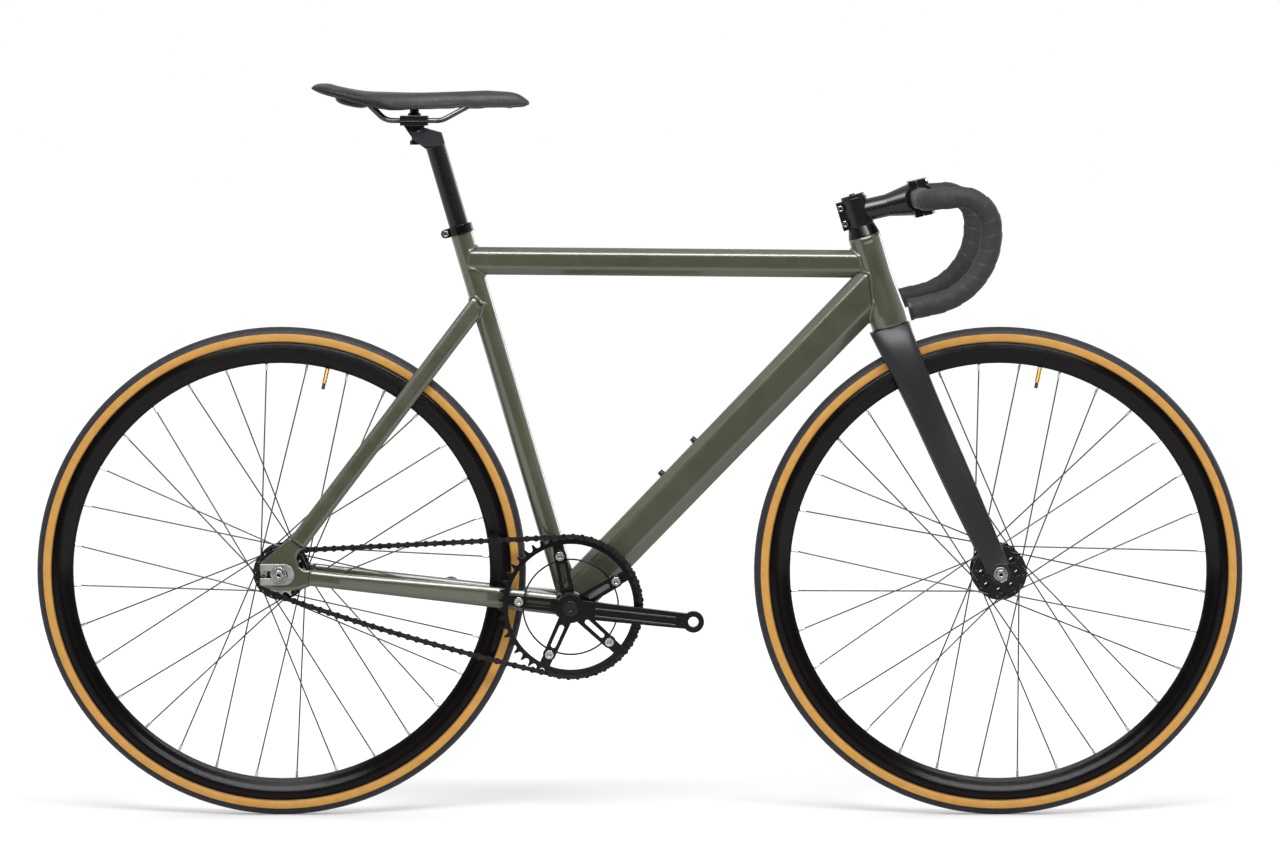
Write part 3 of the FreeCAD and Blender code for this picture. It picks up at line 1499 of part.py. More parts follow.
def make_top_cap():
    """Cap on the stem with its bolt head."""
    cap = Part.makeCylinder(top_cap_radius, top_cap_height, stem_top, steer_up)
    cap_face = stem_top + steer_up * top_cap_height
    head = socket_head(cap_face, steer_up, stem_bolt_head_radius, stem_bolt_head_height / 2,
                       stem_bolt_radius, stem_bolt_head_height / 3)
    return fused([cap, head])


parts["stem"] = make_stem()
parts["stem_faceplate"] = make_faceplate()
parts["stem_bolts"] = make_stem_bolts()
parts["stem_top_cap"] = make_top_cap()


# Handlebar, tape and plugs
bar_end_way = heading(180 + bar_end_angle)


def bar_path(side, start, extra):
    """Middle line of one half of the bar, from a lateral start to its end."""
    corner = bar_point + LEFT * (side * bar_width / 2)
    hook = corner + heading(bar_ramp_angle) * (bar_reach / math.cos(math.radians(bar_ramp_angle)))
    low = hook - UP * bar_hook_drop
    end = low + bar_end_way * (bar_end_run + extra)
    points = [bar_point + LEFT * (side * start), corner, hook, low, end]
    return bent_path(points, [bar_shoulder_radius, bar_hook_radius, bar_drop_radius])


def bar_end(side):
    """End point of one half of the bar."""
    return bar_path(side, bar_taper_end, 0).OrderedVertexes[-1].Point


def make_handlebar():
    """Hollow drop bar with a thicker middle for the clamp."""
    centre = turned([(-bar_taper_end, 0), (-bar_taper_end, bar_radius), (-bar_bulge_half, bar_clamp_radius),
                     (bar_bulge_half, bar_clamp_radius), (bar_taper_end, bar_radius), (bar_taper_end, 0)],
                    bar_point, LEFT, UP)
    bore = bar_radius - bar_wall
    body = fused([centre] + [swept(bar_path(side, bar_taper_end, 0), bar_radius) for side in SIDES.values()])
    hollow = [swept(bar_path(side, bar_taper_end, overrun), bore) for side in SIDES.values()]
    for cut in hollow:
        body = body.cut(cut)
    return biggest(body)


def make_tape(side):
    """Wrapped tape over one half of the bar."""
    outside = swept(bar_path(side, tape_start, 0), bar_radius + tape_thickness)
    inside = swept(bar_path(side, tape_start - overrun, overrun), bar_radius + seat_gap)
    return biggest(outside.cut(inside))


def make_bar_plugs():
    """Plug in each end of the bar."""
    plugs = []
    for side in SIDES.values():
        end = bar_end(side)
        shank = rod(end - bar_end_way * plug_depth, end, bar_radius - bar_wall - seat_gap)
        head = rod(end, end + bar_end_way * plug_thickness, plug_radius)
        plugs.append(fused([shank, head]))
    return Part.makeCompound(plugs)


parts["handlebar"] = make_handlebar()
for side_name, side_sign in SIDES.items():
    parts["bar_tape_" + side_name] = make_tape(side_sign)
parts["bar_end_plugs"] = make_bar_plugs()


# Seatpost and saddle clamp
post_top = bb_point + seat_up * post_top_distance
clamp_point = bb_point - FORWARD * saddle_setback + UP * rail_rise
saddle_datum = clamp_point - FORWARD * saddle_tail_run + UP * saddle_rise
clamp_half_length = clamp_length / 2
clamp_half_width = clamp_width / 2
clamp_foot = clamp_plate + clamp_split / 2


def upright_block(half_length, half_width, low, high):
    """Block about the clamp, between two heights above the rails."""
    corner = clamp_point - FORWARD * half_length - LEFT * half_width + UP * low
    return Part.makeBox(2 * half_length, 2 * half_width, high - low, corner)


def upright_rod(low, high, radius):
    """Upright bar on the clamp's middle, between two heights above the rails."""
    return rod(clamp_point + UP * low, clamp_point + UP * high, radius)


def swing_slot(low, high, radius):
    """Upright slot that leaves the clamp bolt room to tilt."""
    ends = []
    for sign in SIDES.values():
        shift = FORWARD * (sign * bolt_swing)
        ends.append(rod(clamp_point + shift + UP * low, clamp_point + shift + UP * high, radius))
    return fused(ends + [upright_block(bolt_swing, radius, low, high)])


def make_seatpost():
    """Round post with a set back head whose round seat takes the saddle clamp."""
    half_width = post_head_width / 2
    seat_height = clamp_point - UP * post_head_drop
    front = post_top + seat_out * post_radius
    corners = [seat_height - FORWARD * post_head_half, seat_height + FORWARD * post_head_half,
               front + seat_up * post_head_shoulder, front, post_top - seat_out * post_radius,
               clamp_point - UP * post_head_depth]
    head = slab(corners, -half_width, post_head_width)
    tube = rod(post_top - seat_up * post_length, post_top, post_radius)
    bore_foot = post_top - seat_up * (post_length + overrun)
    bore = rod(bore_foot, post_top - seat_up * post_head_width, post_radius - post_wall)
    seat_end = LEFT * post_head_width
    seat = rod(clamp_point - seat_end, clamp_point + seat_end, cradle_radius + body_gap)
    body = fused([head, tube]).cut(bore).cut(seat)
    body = body.cut(swing_slot(-2 * clamp_bolt_seat, 0, clamp_bolt_radius + body_gap))
    head_room = swing_slot(-2 * clamp_bolt_seat, -clamp_bolt_seat, clamp_bolt_head_radius + body_gap)
    return biggest(body.cut(head_room))


def rail_path(side):
    """Middle line of one saddle rail, from its back end to its front end."""
    half = side * rail_spread / 2
    flat_back = clamp_point - FORWARD * rail_flat_back
    flat_front = clamp_point + FORWARD * rail_flat_front
    points = [
        flat_back - FORWARD * rail_back_run + LEFT * (side * rail_back_spread / 2) + UP * rail_back_rise,
        flat_back + LEFT * half,
        flat_front + LEFT * half,
        flat_front + FORWARD * rail_front_run + LEFT * (side * rail_front_spread / 2) + UP * rail_front_rise,
    ]
    return bent_path(points, [rail_bend_radius, rail_bend_radius])


def make_rails(radius):
    """Both saddle rails as bars of a given radius."""
    return Part.makeCompound([swept(rail_path(side), radius) for side in SIDES.values()])


def make_saddle_clamp():
    """Lower cradle, upper plate and the bolt that grips the rails between them."""
    groove = running_gap + rail_radius
    spread = rail_spread / 2
    reach = FORWARD * (clamp_half_length + overrun)
    grooves = []
    for side in SIDES.values():
        middle = clamp_point + LEFT * (side * spread)
        grooves.append(rod(middle - reach, middle + reach, groove))
    bolt_room = upright_rod(-2 * clamp_bolt_seat, 2 * clamp_bolt_seat, clamp_bolt_radius + seat_gap)
    cradle_end = LEFT * (post_head_width / 2)
    cradle = rod(clamp_point - cradle_end, clamp_point + cradle_end, cradle_radius)
    cradle_low = -cradle_radius - overrun
    cradle = cradle.common(upright_block(cradle_radius, post_head_width, cradle_low, -clamp_split / 2))
    lower = fused([upright_block(clamp_half_length, clamp_half_width, -clamp_foot, -clamp_split / 2), cradle])
    upper = fused([upright_block(clamp_half_length, clamp_half_width, clamp_split / 2, clamp_foot),
                   upright_rod(clamp_plate, clamp_foot + clamp_rib, clamp_rib_radius)])
    plates = [plate.cut(Part.makeCompound(grooves)).cut(bolt_room) for plate in (lower, upper)]
    bolt_top = clamp_foot + clamp_rib
    head_top = -clamp_bolt_seat - clamp_bolt_slack
    bolt = fused([upright_rod(head_top - clamp_bolt_head_height, bolt_top, clamp_bolt_radius),
                  upright_rod(head_top - clamp_bolt_head_height, head_top, clamp_bolt_head_radius),
                  upright_rod(bolt_top, bolt_top + clamp_nut_height, clamp_bolt_head_radius)])
    return Part.makeCompound(plates + [bolt])


# Saddle sections: place along the length, half width, top and lower edge
saddle_shares = (
    (0.004, 0.60, 0.375, 0.12),
    (0.042, 0.86, 0.50, -0.15),
    (0.125, 1.00, 0.33, -0.46),
    (0.242, 0.90, 0.08, -0.83),
    (0.359, 0.66, -0.03, -1.06),
    (0.492, 0.44, -0.08, -1.00),
    (0.660, 0.33, 0.00, -0.96),
    (0.842, 0.285, 0.04, -0.92),
    (0.942, 0.23, -0.13, -0.88),
    (0.997, 0.12, -0.62, -0.83),
)
crown_share = 0.30
brow_share = 0.92
foot_share = 0.86
hollow_share = 0.30


def saddle_wire(along, half_share, top_share, low_share):
    """Crowned saddle section with drawn in sides and a hollow underneath."""
    x = saddle_datum.x + saddle_length * along
    half = saddle_half_width * half_share
    top = saddle_datum.z + saddle_depth * top_share
    low = saddle_datum.z + saddle_depth * low_share
    deep = top - low
    brow = top - deep * crown_share
    waist = (brow + low) / 2
    left_brow = V(x, half * brow_share, brow)
    right_brow = V(x, -half * brow_share, brow)
    left_foot = V(x, half * foot_share, low)
    right_foot = V(x, -half * foot_share, low)
    return Part.Wire([
        Part.Arc(right_brow, V(x, 0, top), left_brow).toShape(),
        Part.Arc(left_brow, V(x, half, waist), left_foot).toShape(),
        Part.Arc(left_foot, V(x, 0, low + deep * hollow_share), right_foot).toShape(),
        Part.Arc(right_foot, V(x, -half, waist), right_brow).toShape(),
    ])


def make_saddle():
    """Padded saddle with sockets for the rail ends."""
    form = Part.makeLoft([saddle_wire(*shares) for shares in saddle_shares], True, False)
    return biggest(form.cut(make_rails(rail_radius + seat_gap)))


parts["seatpost"] = make_seatpost()
parts["saddle_clamp"] = make_saddle_clamp()
parts["saddle_rails"] = make_rails(rail_radius)
parts["saddle"] = make_saddle()

os.makedirs("parts", exist_ok=True)
for node_name, shape in parts.items():
    shape.exportStep("parts/" + node_name + ".step")
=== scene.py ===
"""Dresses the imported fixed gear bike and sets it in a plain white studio.

+X points forward, +Y to the rider's left and +Z up, in metres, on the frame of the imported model.
"""
import logging
import math
from dataclasses import dataclass, field
from enum import Enum
from typing import Iterable, Sequence

import bmesh
import bpy
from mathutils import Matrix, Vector
from mathutils.bvhtree import BVHTree


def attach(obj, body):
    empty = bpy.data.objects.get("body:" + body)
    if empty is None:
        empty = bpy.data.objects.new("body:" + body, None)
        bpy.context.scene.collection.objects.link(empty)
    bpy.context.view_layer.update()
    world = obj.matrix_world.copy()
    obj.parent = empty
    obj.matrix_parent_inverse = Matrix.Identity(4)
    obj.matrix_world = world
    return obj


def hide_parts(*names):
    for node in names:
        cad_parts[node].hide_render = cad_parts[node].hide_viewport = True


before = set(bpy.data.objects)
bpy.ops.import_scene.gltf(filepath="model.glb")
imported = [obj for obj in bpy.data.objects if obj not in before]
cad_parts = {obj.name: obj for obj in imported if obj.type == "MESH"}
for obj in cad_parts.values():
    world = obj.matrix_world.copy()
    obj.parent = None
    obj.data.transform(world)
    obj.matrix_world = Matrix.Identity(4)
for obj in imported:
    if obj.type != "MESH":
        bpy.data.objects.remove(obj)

log = logging.getLogger("fixed_gear_bike")

Colour = tuple[float, float, float, float]
Place = tuple[float, float, float]
Socket = bpy.types.NodeSocket

WHITE: Colour = (1.0, 1.0, 1.0, 1.0)
UP = Vector((0.0, 0.0, 1.0))
# Numbers of the Mix node's colour inputs and output.
MIX_FIRST, MIX_SECOND, MIX_RESULT = 6, 7, 2
BEVEL_SAMPLES = 10
# Mesh of the wound tape, the rise and fall of a lap, and the lumps under it.
TAPE_STEP, TAPE_SIDES = 0.0009, 44
LAP_RISE, LAP_FALL = 0.2, 0.85
LUMP_SCALE, LUMP_HEIGHT = 55.0, 0.0012
# Mesh of a bead and of a stitch.
BEAD_STEP, BEAD_SIDES = 0.0006, 12
STITCH_SEGMENTS, STITCH_RINGS = 8, 6
# Upper end and lower end of the saddle's side seam, as X and Z.
SADDLE_SEAM = ((-0.402, 1.0065), (-0.334, 0.9795))


class Side(Enum):
    """The two sides of the bicycle, by the sign of Y."""

    RIGHT = -1
    LEFT = 1

    @property
    def across(self) -> Vector:
        """Unit vector towards this side."""
        return Vector((0.0, self.value, 0.0))

    @property
    def word(self) -> str:
        """The side as it stands in the names of pieces."""
        return self.name.lower()


class Body(Enum):
    """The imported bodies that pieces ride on."""

    FRAME = "frame"
    HANDLEBAR = "handlebar"
    SADDLE = "saddle"


def tone(red: float, green: float, blue: float) -> Colour:
    """Linear colour from display values.

    Args:
        red: Red from 0 to 255.
        green: Green from 0 to 255.
        blue: Blue from 0 to 255.

    Returns:
        The linear colour with full alpha.
    """
    def linear(value: float) -> float:
        """One channel made linear."""
        share = value / 255
        return share / 12.92 if share <= 0.04045 else ((share + 0.055) / 1.055) ** 2.4

    return linear(red), linear(green), linear(blue), 1.0


class NodePad:
    """A node tree, with the steps that shading and geometry trees share."""

    def __init__(self, tree: bpy.types.NodeTree) -> None:
        """Takes up a tree."""
        self.tree = tree

    def feed(self, socket: Socket, value: object) -> None:
        """Links an output to a socket, or sets the socket's own number.

        Args:
            socket: The input to feed.
            value: An output socket, a number, a vector or a colour.
        """
        if isinstance(value, bpy.types.NodeSocket):
            self.tree.links.new(value, socket)
        else:
            socket.default_value = value

    def add(self, kind: str, feeds: dict[object, object] | None = None, **settings: object) -> bpy.types.Node:
        """Adds a node and feeds its inputs.

        Args:
            kind: Blender's name for the node.
            feeds: Input names or numbers, and an output socket or a value for each.
            settings: Properties to set on it.

        Returns:
            The new node.
        """
        node = self.tree.nodes.new(kind)
        for name, value in settings.items():
            setattr(node, name, value)
        for name, value in (feeds or {}).items():
            self.feed(node.inputs[name], value)
        return node

    def sums(self, operation: str, first: object, second: object = 0.0) -> Socket:
        """Result of one step of arithmetic on two operands."""
        return self.add("ShaderNodeMath", {0: first, 1: second}, operation=operation).outputs[0]

    def steps(self, value: Socket, low: float, high: float,
              out: tuple[float, float] = (0.0, 1.0)) -> Socket:
        """Smooth step of a value from a low to a high limit, between the two results given."""
        feeds = {"Value": value, "From Min": low, "From Max": high, "To Min": out[0], "To Max": out[1]}
        return self.add("ShaderNodeMapRange", feeds, interpolation_type="SMOOTHSTEP").outputs["Result"]

    def split(self, vector: Socket) -> list[Socket]:
        """The three parts of a vector."""
        node = self.add("ShaderNodeSeparateXYZ", {0: vector})
        return [node.outputs[axis] for axis in "XYZ"]

    def most(self, rays: Sequence[str], value: object = 0.0) -> Socket:
        """The greatest of a value and some of the Light Path node's outputs.

        Args:
            rays: Names of the outputs, which are 1 for a ray of that kind.
            value: The value.

        Returns:
            The greatest value.
        """
        path = self.add("ShaderNodeLightPath").outputs
        for ray in rays:
            value = self.sums("MAXIMUM", value, path[ray])
        return value


class Sketch(NodePad):
    """Node tree of one finish, worked out from the surface shader back."""

    def __init__(self, name: str) -> None:
        """Starts the tree of a finish.

        Args:
            name: Name of the material.
        """
        self.material = bpy.data.materials.new(name)
        self.material.use_nodes = True
        super().__init__(self.material.node_tree)
        self.surface = self.tree.nodes["Principled BSDF"]
        self.place = self.add("ShaderNodeTexCoord").outputs["Object"]

    def fix(self, **numbers: object) -> None:
        """Sets constants on the surface shader's sockets, named with underscores for spaces."""
        for name, value in numbers.items():
            self.surface.inputs[name.replace("_", " ")].default_value = value

    def drive(self, socket: str, value: Socket) -> None:
        """Links an output to a socket of the surface shader."""
        self.tree.links.new(value, self.surface.inputs[socket])

    def dull(self, value: Socket, low: float, high: float, span: tuple[float, float]) -> None:
        """Drives the roughness over a span, by a smooth step of a value from a low to a high limit."""
        self.drive("Roughness", self.steps(value, low, high, span))

    def moved(self, at: Place, stretch: Place = (1, 1, 1)) -> Socket:
        """Object coordinates measured from a point.

        Args:
            at: The point that becomes the origin.
            stretch: Factors along the three axes.

        Returns:
            The moved coordinates.
        """
        shift = [-part * factor for part, factor in zip(at, stretch)]
        feeds = {"Vector": self.place, "Location": shift, "Scale": stretch}
        return self.add("ShaderNodeMapping", feeds).outputs["Vector"]

    def noise(self, scale: float, detail: float = 3.0, vector: Socket | None = None) -> Socket:
        """Noise from 0 to 1 with so many grains in a metre, on object coordinates or the given ones."""
        feeds = {"Vector": vector or self.place, "Scale": scale, "Detail": detail}
        return self.add("ShaderNodeTexNoise", feeds).outputs["Fac"]

    def cells(self, scale: float) -> Socket:
        """Distance to the nearest of scattered cell centres, so many in a metre."""
        return self.add("ShaderNodeTexVoronoi", {"Vector": self.place, "Scale": scale}).outputs["Distance"]

    def blend(self, share: Socket, first: object, second: object) -> Socket:
        """Mix of two colours, by the share of the second."""
        feeds = {0: share, MIX_FIRST: first, MIX_SECOND: second}
        return self.add("ShaderNodeMix", feeds, data_type="RGBA").outputs[MIX_RESULT]

    def radius(self, at: Place, stretch: Place = (1, 0, 1)) -> Socket:
        """Distance from a line along Y through a point, or from the point with the axes stretched."""
        moved = self.moved(at, stretch)
        return self.add("ShaderNodeVectorMath", {0: moved}, operation="LENGTH").outputs["Value"]

    def relief(self, height: Socket, distance: float, strength: float = 1.0, soften: float = 0.0) -> None:
        """Raises the surface by a height.

        Args:
            height: Height between 0 and 1.
            distance: Size of a height of 1, in metres.
            strength: Share of the relief that shows.
            soften: Radius that edges are shaded with, in metres.
        """
        feeds = {"Height": height, "Distance": distance, "Strength": strength}
        if soften:
            edge = self.add("ShaderNodeBevel", {"Radius": soften}, samples=BEVEL_SAMPLES)
            feeds["Normal"] = edge.outputs["Normal"]
        bump = self.add("ShaderNodeBump", feeds)
        self.drive("Normal", bump.outputs["Normal"])
        self.drive("Coat Normal", bump.outputs["Normal"])


@dataclass(frozen=True)
class Finish:
    """A named finish, drawn as a tree of shader nodes."""

    name: str

    def draw(self, sketch: Sketch) -> None:
        """Draws the finish on a new tree, which each kind of finish does in its own way."""
        raise NotImplementedError

    def dress(self) -> bpy.types.Material:
        """Makes the material.

        Returns:
            The finished material.
        """
        sketch = Sketch(self.name)
        self.draw(sketch)
        return sketch.material


@dataclass(frozen=True)
class GlossPaint(Finish):
    """Clear coated paint with a fine fleck and a slight orange peel."""

    colour: Colour
    shade: Colour
    coat: float = 1.0
    roughness: float = 0.38
    cloud_scale: float = 5.0
    fleck_scale: float = 2600.0
    fleck_gain: float = 1.22
    peel_scale: float = 420.0
    peel_depth: float = 0.00012
    soften: float = 0.006

    def draw(self, sketch: Sketch) -> None:
        """Draws the finish.

        Args:
            sketch: The finish's tree.
        """
        cloud = sketch.steps(sketch.noise(self.cloud_scale, 2.0), 0.35, 0.7)
        body = sketch.blend(cloud, self.colour, self.shade)
        bright = [min(1.0, channel * self.fleck_gain) for channel in self.colour[:3]] + [1.0]
        fleck = sketch.steps(sketch.cells(self.fleck_scale), 0.05, 0.55)
        sketch.drive("Base Color", sketch.blend(fleck, bright, body))
        sketch.dull(sketch.noise(40.0), 0.2, 0.9, (self.roughness - 0.06, self.roughness + 0.08))
        sketch.fix(Coat_Weight=self.coat, Coat_Roughness=0.07, Coat_IOR=1.6, Specular_IOR_Level=0.4)
        sketch.relief(sketch.noise(self.peel_scale, 2.0), self.peel_depth, 0.2, self.soften)


@dataclass(frozen=True)
class SatinPaint(Finish):
    """Satin coat with faint mottling, and another tone above a height where a piece has a forged head."""

    colour: Colour
    shade: Colour
    roughness: float = 0.42
    level: float = 0.45
    soften: float = 0.0009
    head: Colour | None = None
    head_from: float = 0.0
    mottle_scale: float = 18.0
    grain_scale: float = 900.0
    grain_depth: float = 0.00006

    def draw(self, sketch: Sketch) -> None:
        """Draws the finish.

        Args:
            sketch: The finish's tree.
        """
        mottle = sketch.steps(sketch.noise(self.mottle_scale, 5.0), 0.3, 0.75)
        colour = sketch.blend(mottle, self.colour, self.shade)
        if self.head:
            height = sketch.split(sketch.place)[2]
            above = sketch.steps(height, self.head_from, self.head_from + 0.001)
            colour = sketch.blend(above, colour, self.head)
        sketch.drive("Base Color", colour)
        grain = sketch.noise(self.grain_scale, 2.0)
        sketch.dull(grain, 0.2, 0.85, (self.roughness - 0.07, self.roughness + 0.1))
        sketch.fix(Specular_IOR_Level=self.level)
        sketch.relief(grain, self.grain_depth, 0.4, self.soften)


@dataclass(frozen=True)
class WornMetal(Finish):
    """Bare or plated metal with drawn scratches and handling marks, and painted shade darkening its corners
    and recesses.
    """

    colour: Colour
    shade: Colour
    roughness: float = 0.28
    stretch: Place = (1, 1, 1)
    metallic: float = 1.0
    # Tone of the painted shade in corners and recesses, and how far the occlusion looks for them.
    painted_shade: Colour = tone(20, 20, 20)
    shade_reach: float = 0.005
    drawn_scale: float = 700.0
    drawn_depth: float = 0.00003
    mark_scale: float = 60.0
    soften: float = 0.0007

    def draw(self, sketch: Sketch) -> None:
        """Draws the finish.

        Args:
            sketch: The finish's tree.
        """
        drawn = sketch.noise(self.drawn_scale, 4.0, sketch.moved((0, 0, 0), self.stretch))
        marks = sketch.steps(sketch.noise(self.mark_scale, 5.0), 0.42, 0.7)
        worn = sketch.blend(marks, self.colour, self.shade)
        # Painted shade: ambient occlusion darkens the colour towards a dark tone in corners, recesses and
        # where parts meet.
        occlusion = sketch.add("ShaderNodeAmbientOcclusion", {"Distance": self.shade_reach}, samples=6)
        unshaded = sketch.steps(occlusion.outputs["AO"], 0.25, 0.95)
        sketch.drive("Base Color", sketch.blend(unshaded, self.painted_shade, worn))
        sketch.dull(drawn, 0.25, 0.8, (self.roughness - 0.05, self.roughness + 0.07))
        sketch.fix(Metallic=self.metallic)
        sketch.relief(drawn, self.drawn_depth, 0.2, self.soften)


@dataclass(frozen=True)
class TyreRubber(Finish):
    """Slate tread over tan side walls with woven cords, by the distance from the axle, with painted shade
    darkening the wall where it meets the rim.
    """

    axle: Place
    tread: Colour = tone(42, 43, 48)
    tread_worn: Colour = tone(54, 54, 58)
    wall: Colour = tone(207, 155, 79)
    wall_shade: Colour = tone(199, 146, 72)
    rim_shade_tone: Colour = tone(120, 84, 40)
    tread_edge: float = 0.3297
    rim_edge: float = 0.3186
    rim_shade_width: float = 0.0016
    cord_scale: float = 320.0
    tread_height: float = 0.0004

    def draw(self, sketch: Sketch) -> None:
        """Draws the finish.

        Args:
            sketch: The finish's tree.
        """
        reach = sketch.radius(self.axle)
        place = sketch.moved(self.axle)
        mottle = sketch.steps(sketch.noise(70.0, 5.0, place), 0.3, 0.75)
        wall = sketch.blend(mottle, self.wall, self.wall_shade)
        # Painted shade: a dark band at the foot of the wall, where the tyre meets the rim.
        foot = sketch.steps(reach, self.rim_edge, self.rim_edge + self.rim_shade_width, (1.0, 0.0))
        wall = sketch.blend(foot, wall, self.rim_shade_tone)
        scuffs = sketch.steps(sketch.noise(240.0, 4.0, place), 0.4, 0.75)
        tread = sketch.blend(scuffs, self.tread, self.tread_worn)
        edge = sketch.steps(reach, self.tread_edge - 0.0002, self.tread_edge + 0.0002)
        sketch.drive("Base Color", sketch.blend(edge, wall, tread))
        sketch.dull(sketch.noise(300.0, 3.0, place), 0.2, 0.9, (0.5, 0.72))
        sketch.fix(Specular_IOR_Level=0.15)
        feeds = {"Vector": place, "Scale": self.cord_scale, "Distortion": 1.2}
        cords = sketch.add("ShaderNodeTexWave", feeds, wave_type="RINGS", rings_direction="Y")
        beside = sketch.steps(reach, self.tread_edge - 0.0007, self.tread_edge, (1.0, 0.0))
        ridges = sketch.sums("MULTIPLY", cords.outputs["Fac"], sketch.sums("MULTIPLY", beside, 0.25))
        grit = sketch.sums("MULTIPLY", sketch.noise(1500.0, 2.0, place), 0.3)
        height = sketch.sums("ADD", ridges, sketch.sums("ADD", grit, edge))
        sketch.relief(height, self.tread_height, 0.7)


@dataclass(frozen=True)
class TubeAndValve(Finish):
    """Butyl tube inside the tyre, with a brass valve stem and a black cap."""

    axle: Place
    cap_edge: float = 0.2665
    tube_edge: float = 0.3
    edge_width: float = 0.0006
    butyl: Colour = tone(30, 30, 31)
    brass: Colour = tone(172, 130, 68)
    brass_dull: Colour = tone(134, 98, 48)
    thread_scale: float = 380.0
    thread_depth: float = 0.0003

    def draw(self, sketch: Sketch) -> None:
        """Draws the finish.

        Args:
            sketch: The finish's tree.
        """
        reach = sketch.radius(self.axle)
        past_cap = sketch.steps(reach, self.cap_edge, self.cap_edge + self.edge_width)
        short_of_tube = sketch.steps(reach, self.tube_edge, self.tube_edge + self.edge_width, (1.0, 0.0))
        stem = sketch.sums("MULTIPLY", past_cap, short_of_tube)
        brass = sketch.blend(sketch.steps(sketch.noise(900.0), 0.35, 0.7), self.brass, self.brass_dull)
        sketch.drive("Base Color", sketch.blend(stem, self.butyl, brass))
        sketch.drive("Metallic", stem)
        sketch.dull(stem, 0.0, 1.0, (0.55, 0.3))
        thread = sketch.add("ShaderNodeTexWave", {"Vector": sketch.place, "Scale": self.thread_scale},
                            bands_direction="Z", wave_profile="TRI")
        sketch.relief(sketch.sums("MULTIPLY", thread.outputs["Fac"], stem), self.thread_depth, 0.6)


@dataclass(frozen=True)
class GrainedCover(Finish):
    """Synthetic leather with a fine grain, faint creases and a soft sheen, and a panel behind a seam."""

    colour: Colour
    shade: Colour
    grain: float = 900.0
    roughness: float = 0.52
    level: float = 0.25
    depth: float = 0.00012
    panel: Colour | None = None
    seam: tuple[tuple[float, float], tuple[float, float]] = SADDLE_SEAM
    pore: Colour = tone(38, 37, 39)
    pore_share: float = 0.35
    rub_scale: float = 14.0

    def behind_seam(self, sketch: Sketch) -> Socket:
        """Mask of the panel under and behind the seam.

        Args:
            sketch: The finish's tree.

        Returns:
            1 on the panel and 0 elsewhere.
        """
        (start_x, start_z), (end_x, end_z) = self.seam
        x, _, z = sketch.split(sketch.place)
        slope = (end_z - start_z) / (end_x - start_x)
        fall = sketch.sums("MULTIPLY", sketch.sums("SUBTRACT", x, start_x), slope)
        above = sketch.sums("SUBTRACT", sketch.sums("SUBTRACT", z, start_z), fall)
        under = sketch.steps(above, -0.0005, 0.0005, (1.0, 0.0))
        behind = sketch.steps(x, end_x, end_x + 0.001, (1.0, 0.0))
        return sketch.sums("MULTIPLY", under, behind)

    def draw(self, sketch: Sketch) -> None:
        """Draws the finish.

        Args:
            sketch: The finish's tree.
        """
        rubbed = sketch.steps(sketch.noise(self.rub_scale, 4.0), 0.35, 0.75)
        colour = sketch.blend(rubbed, self.colour, self.shade)
        pores = sketch.steps(sketch.cells(self.grain), 0.08, 0.5)
        pitted = sketch.steps(pores, 0.0, 0.35, (self.pore_share, 0.0))
        colour = sketch.blend(pitted, colour, self.pore)
        if self.panel:
            colour = sketch.blend(self.behind_seam(sketch), colour, self.panel)
        sketch.drive("Base Color", colour)
        crease = sketch.noise(self.grain / 6, 4.0)
        sketch.dull(crease, 0.25, 0.8, (self.roughness - 0.08, self.roughness + 0.12))
        sketch.fix(Specular_IOR_Level=self.level, Sheen_Weight=0.05, Sheen_Roughness=0.5)
        height = sketch.sums("ADD", pores, sketch.sums("MULTIPLY", crease, 0.4))
        sketch.relief(height, self.depth, 0.5)


@dataclass(frozen=True)
class ChainSteel(Finish):
    """Blackened link plates with oil on them."""

    colour: Colour
    shade: Colour
    oil_scale: float = 150.0
    grain_scale: float = 1200.0
    grain_depth: float = 0.00008

    def draw(self, sketch: Sketch) -> None:
        """Draws the finish.

        Args:
            sketch: The finish's tree.
        """
        oil = sketch.steps(sketch.noise(self.oil_scale, 4.0), 0.38, 0.68)
        sketch.drive("Base Color", sketch.blend(oil, self.colour, self.shade))
        sketch.dull(sketch.noise(500.0, 3.0), 0.25, 0.8, (0.22, 0.5))
        sketch.fix(Metallic=0.85)
        sketch.relief(sketch.noise(self.grain_scale, 2.0), self.grain_depth, 0.4)


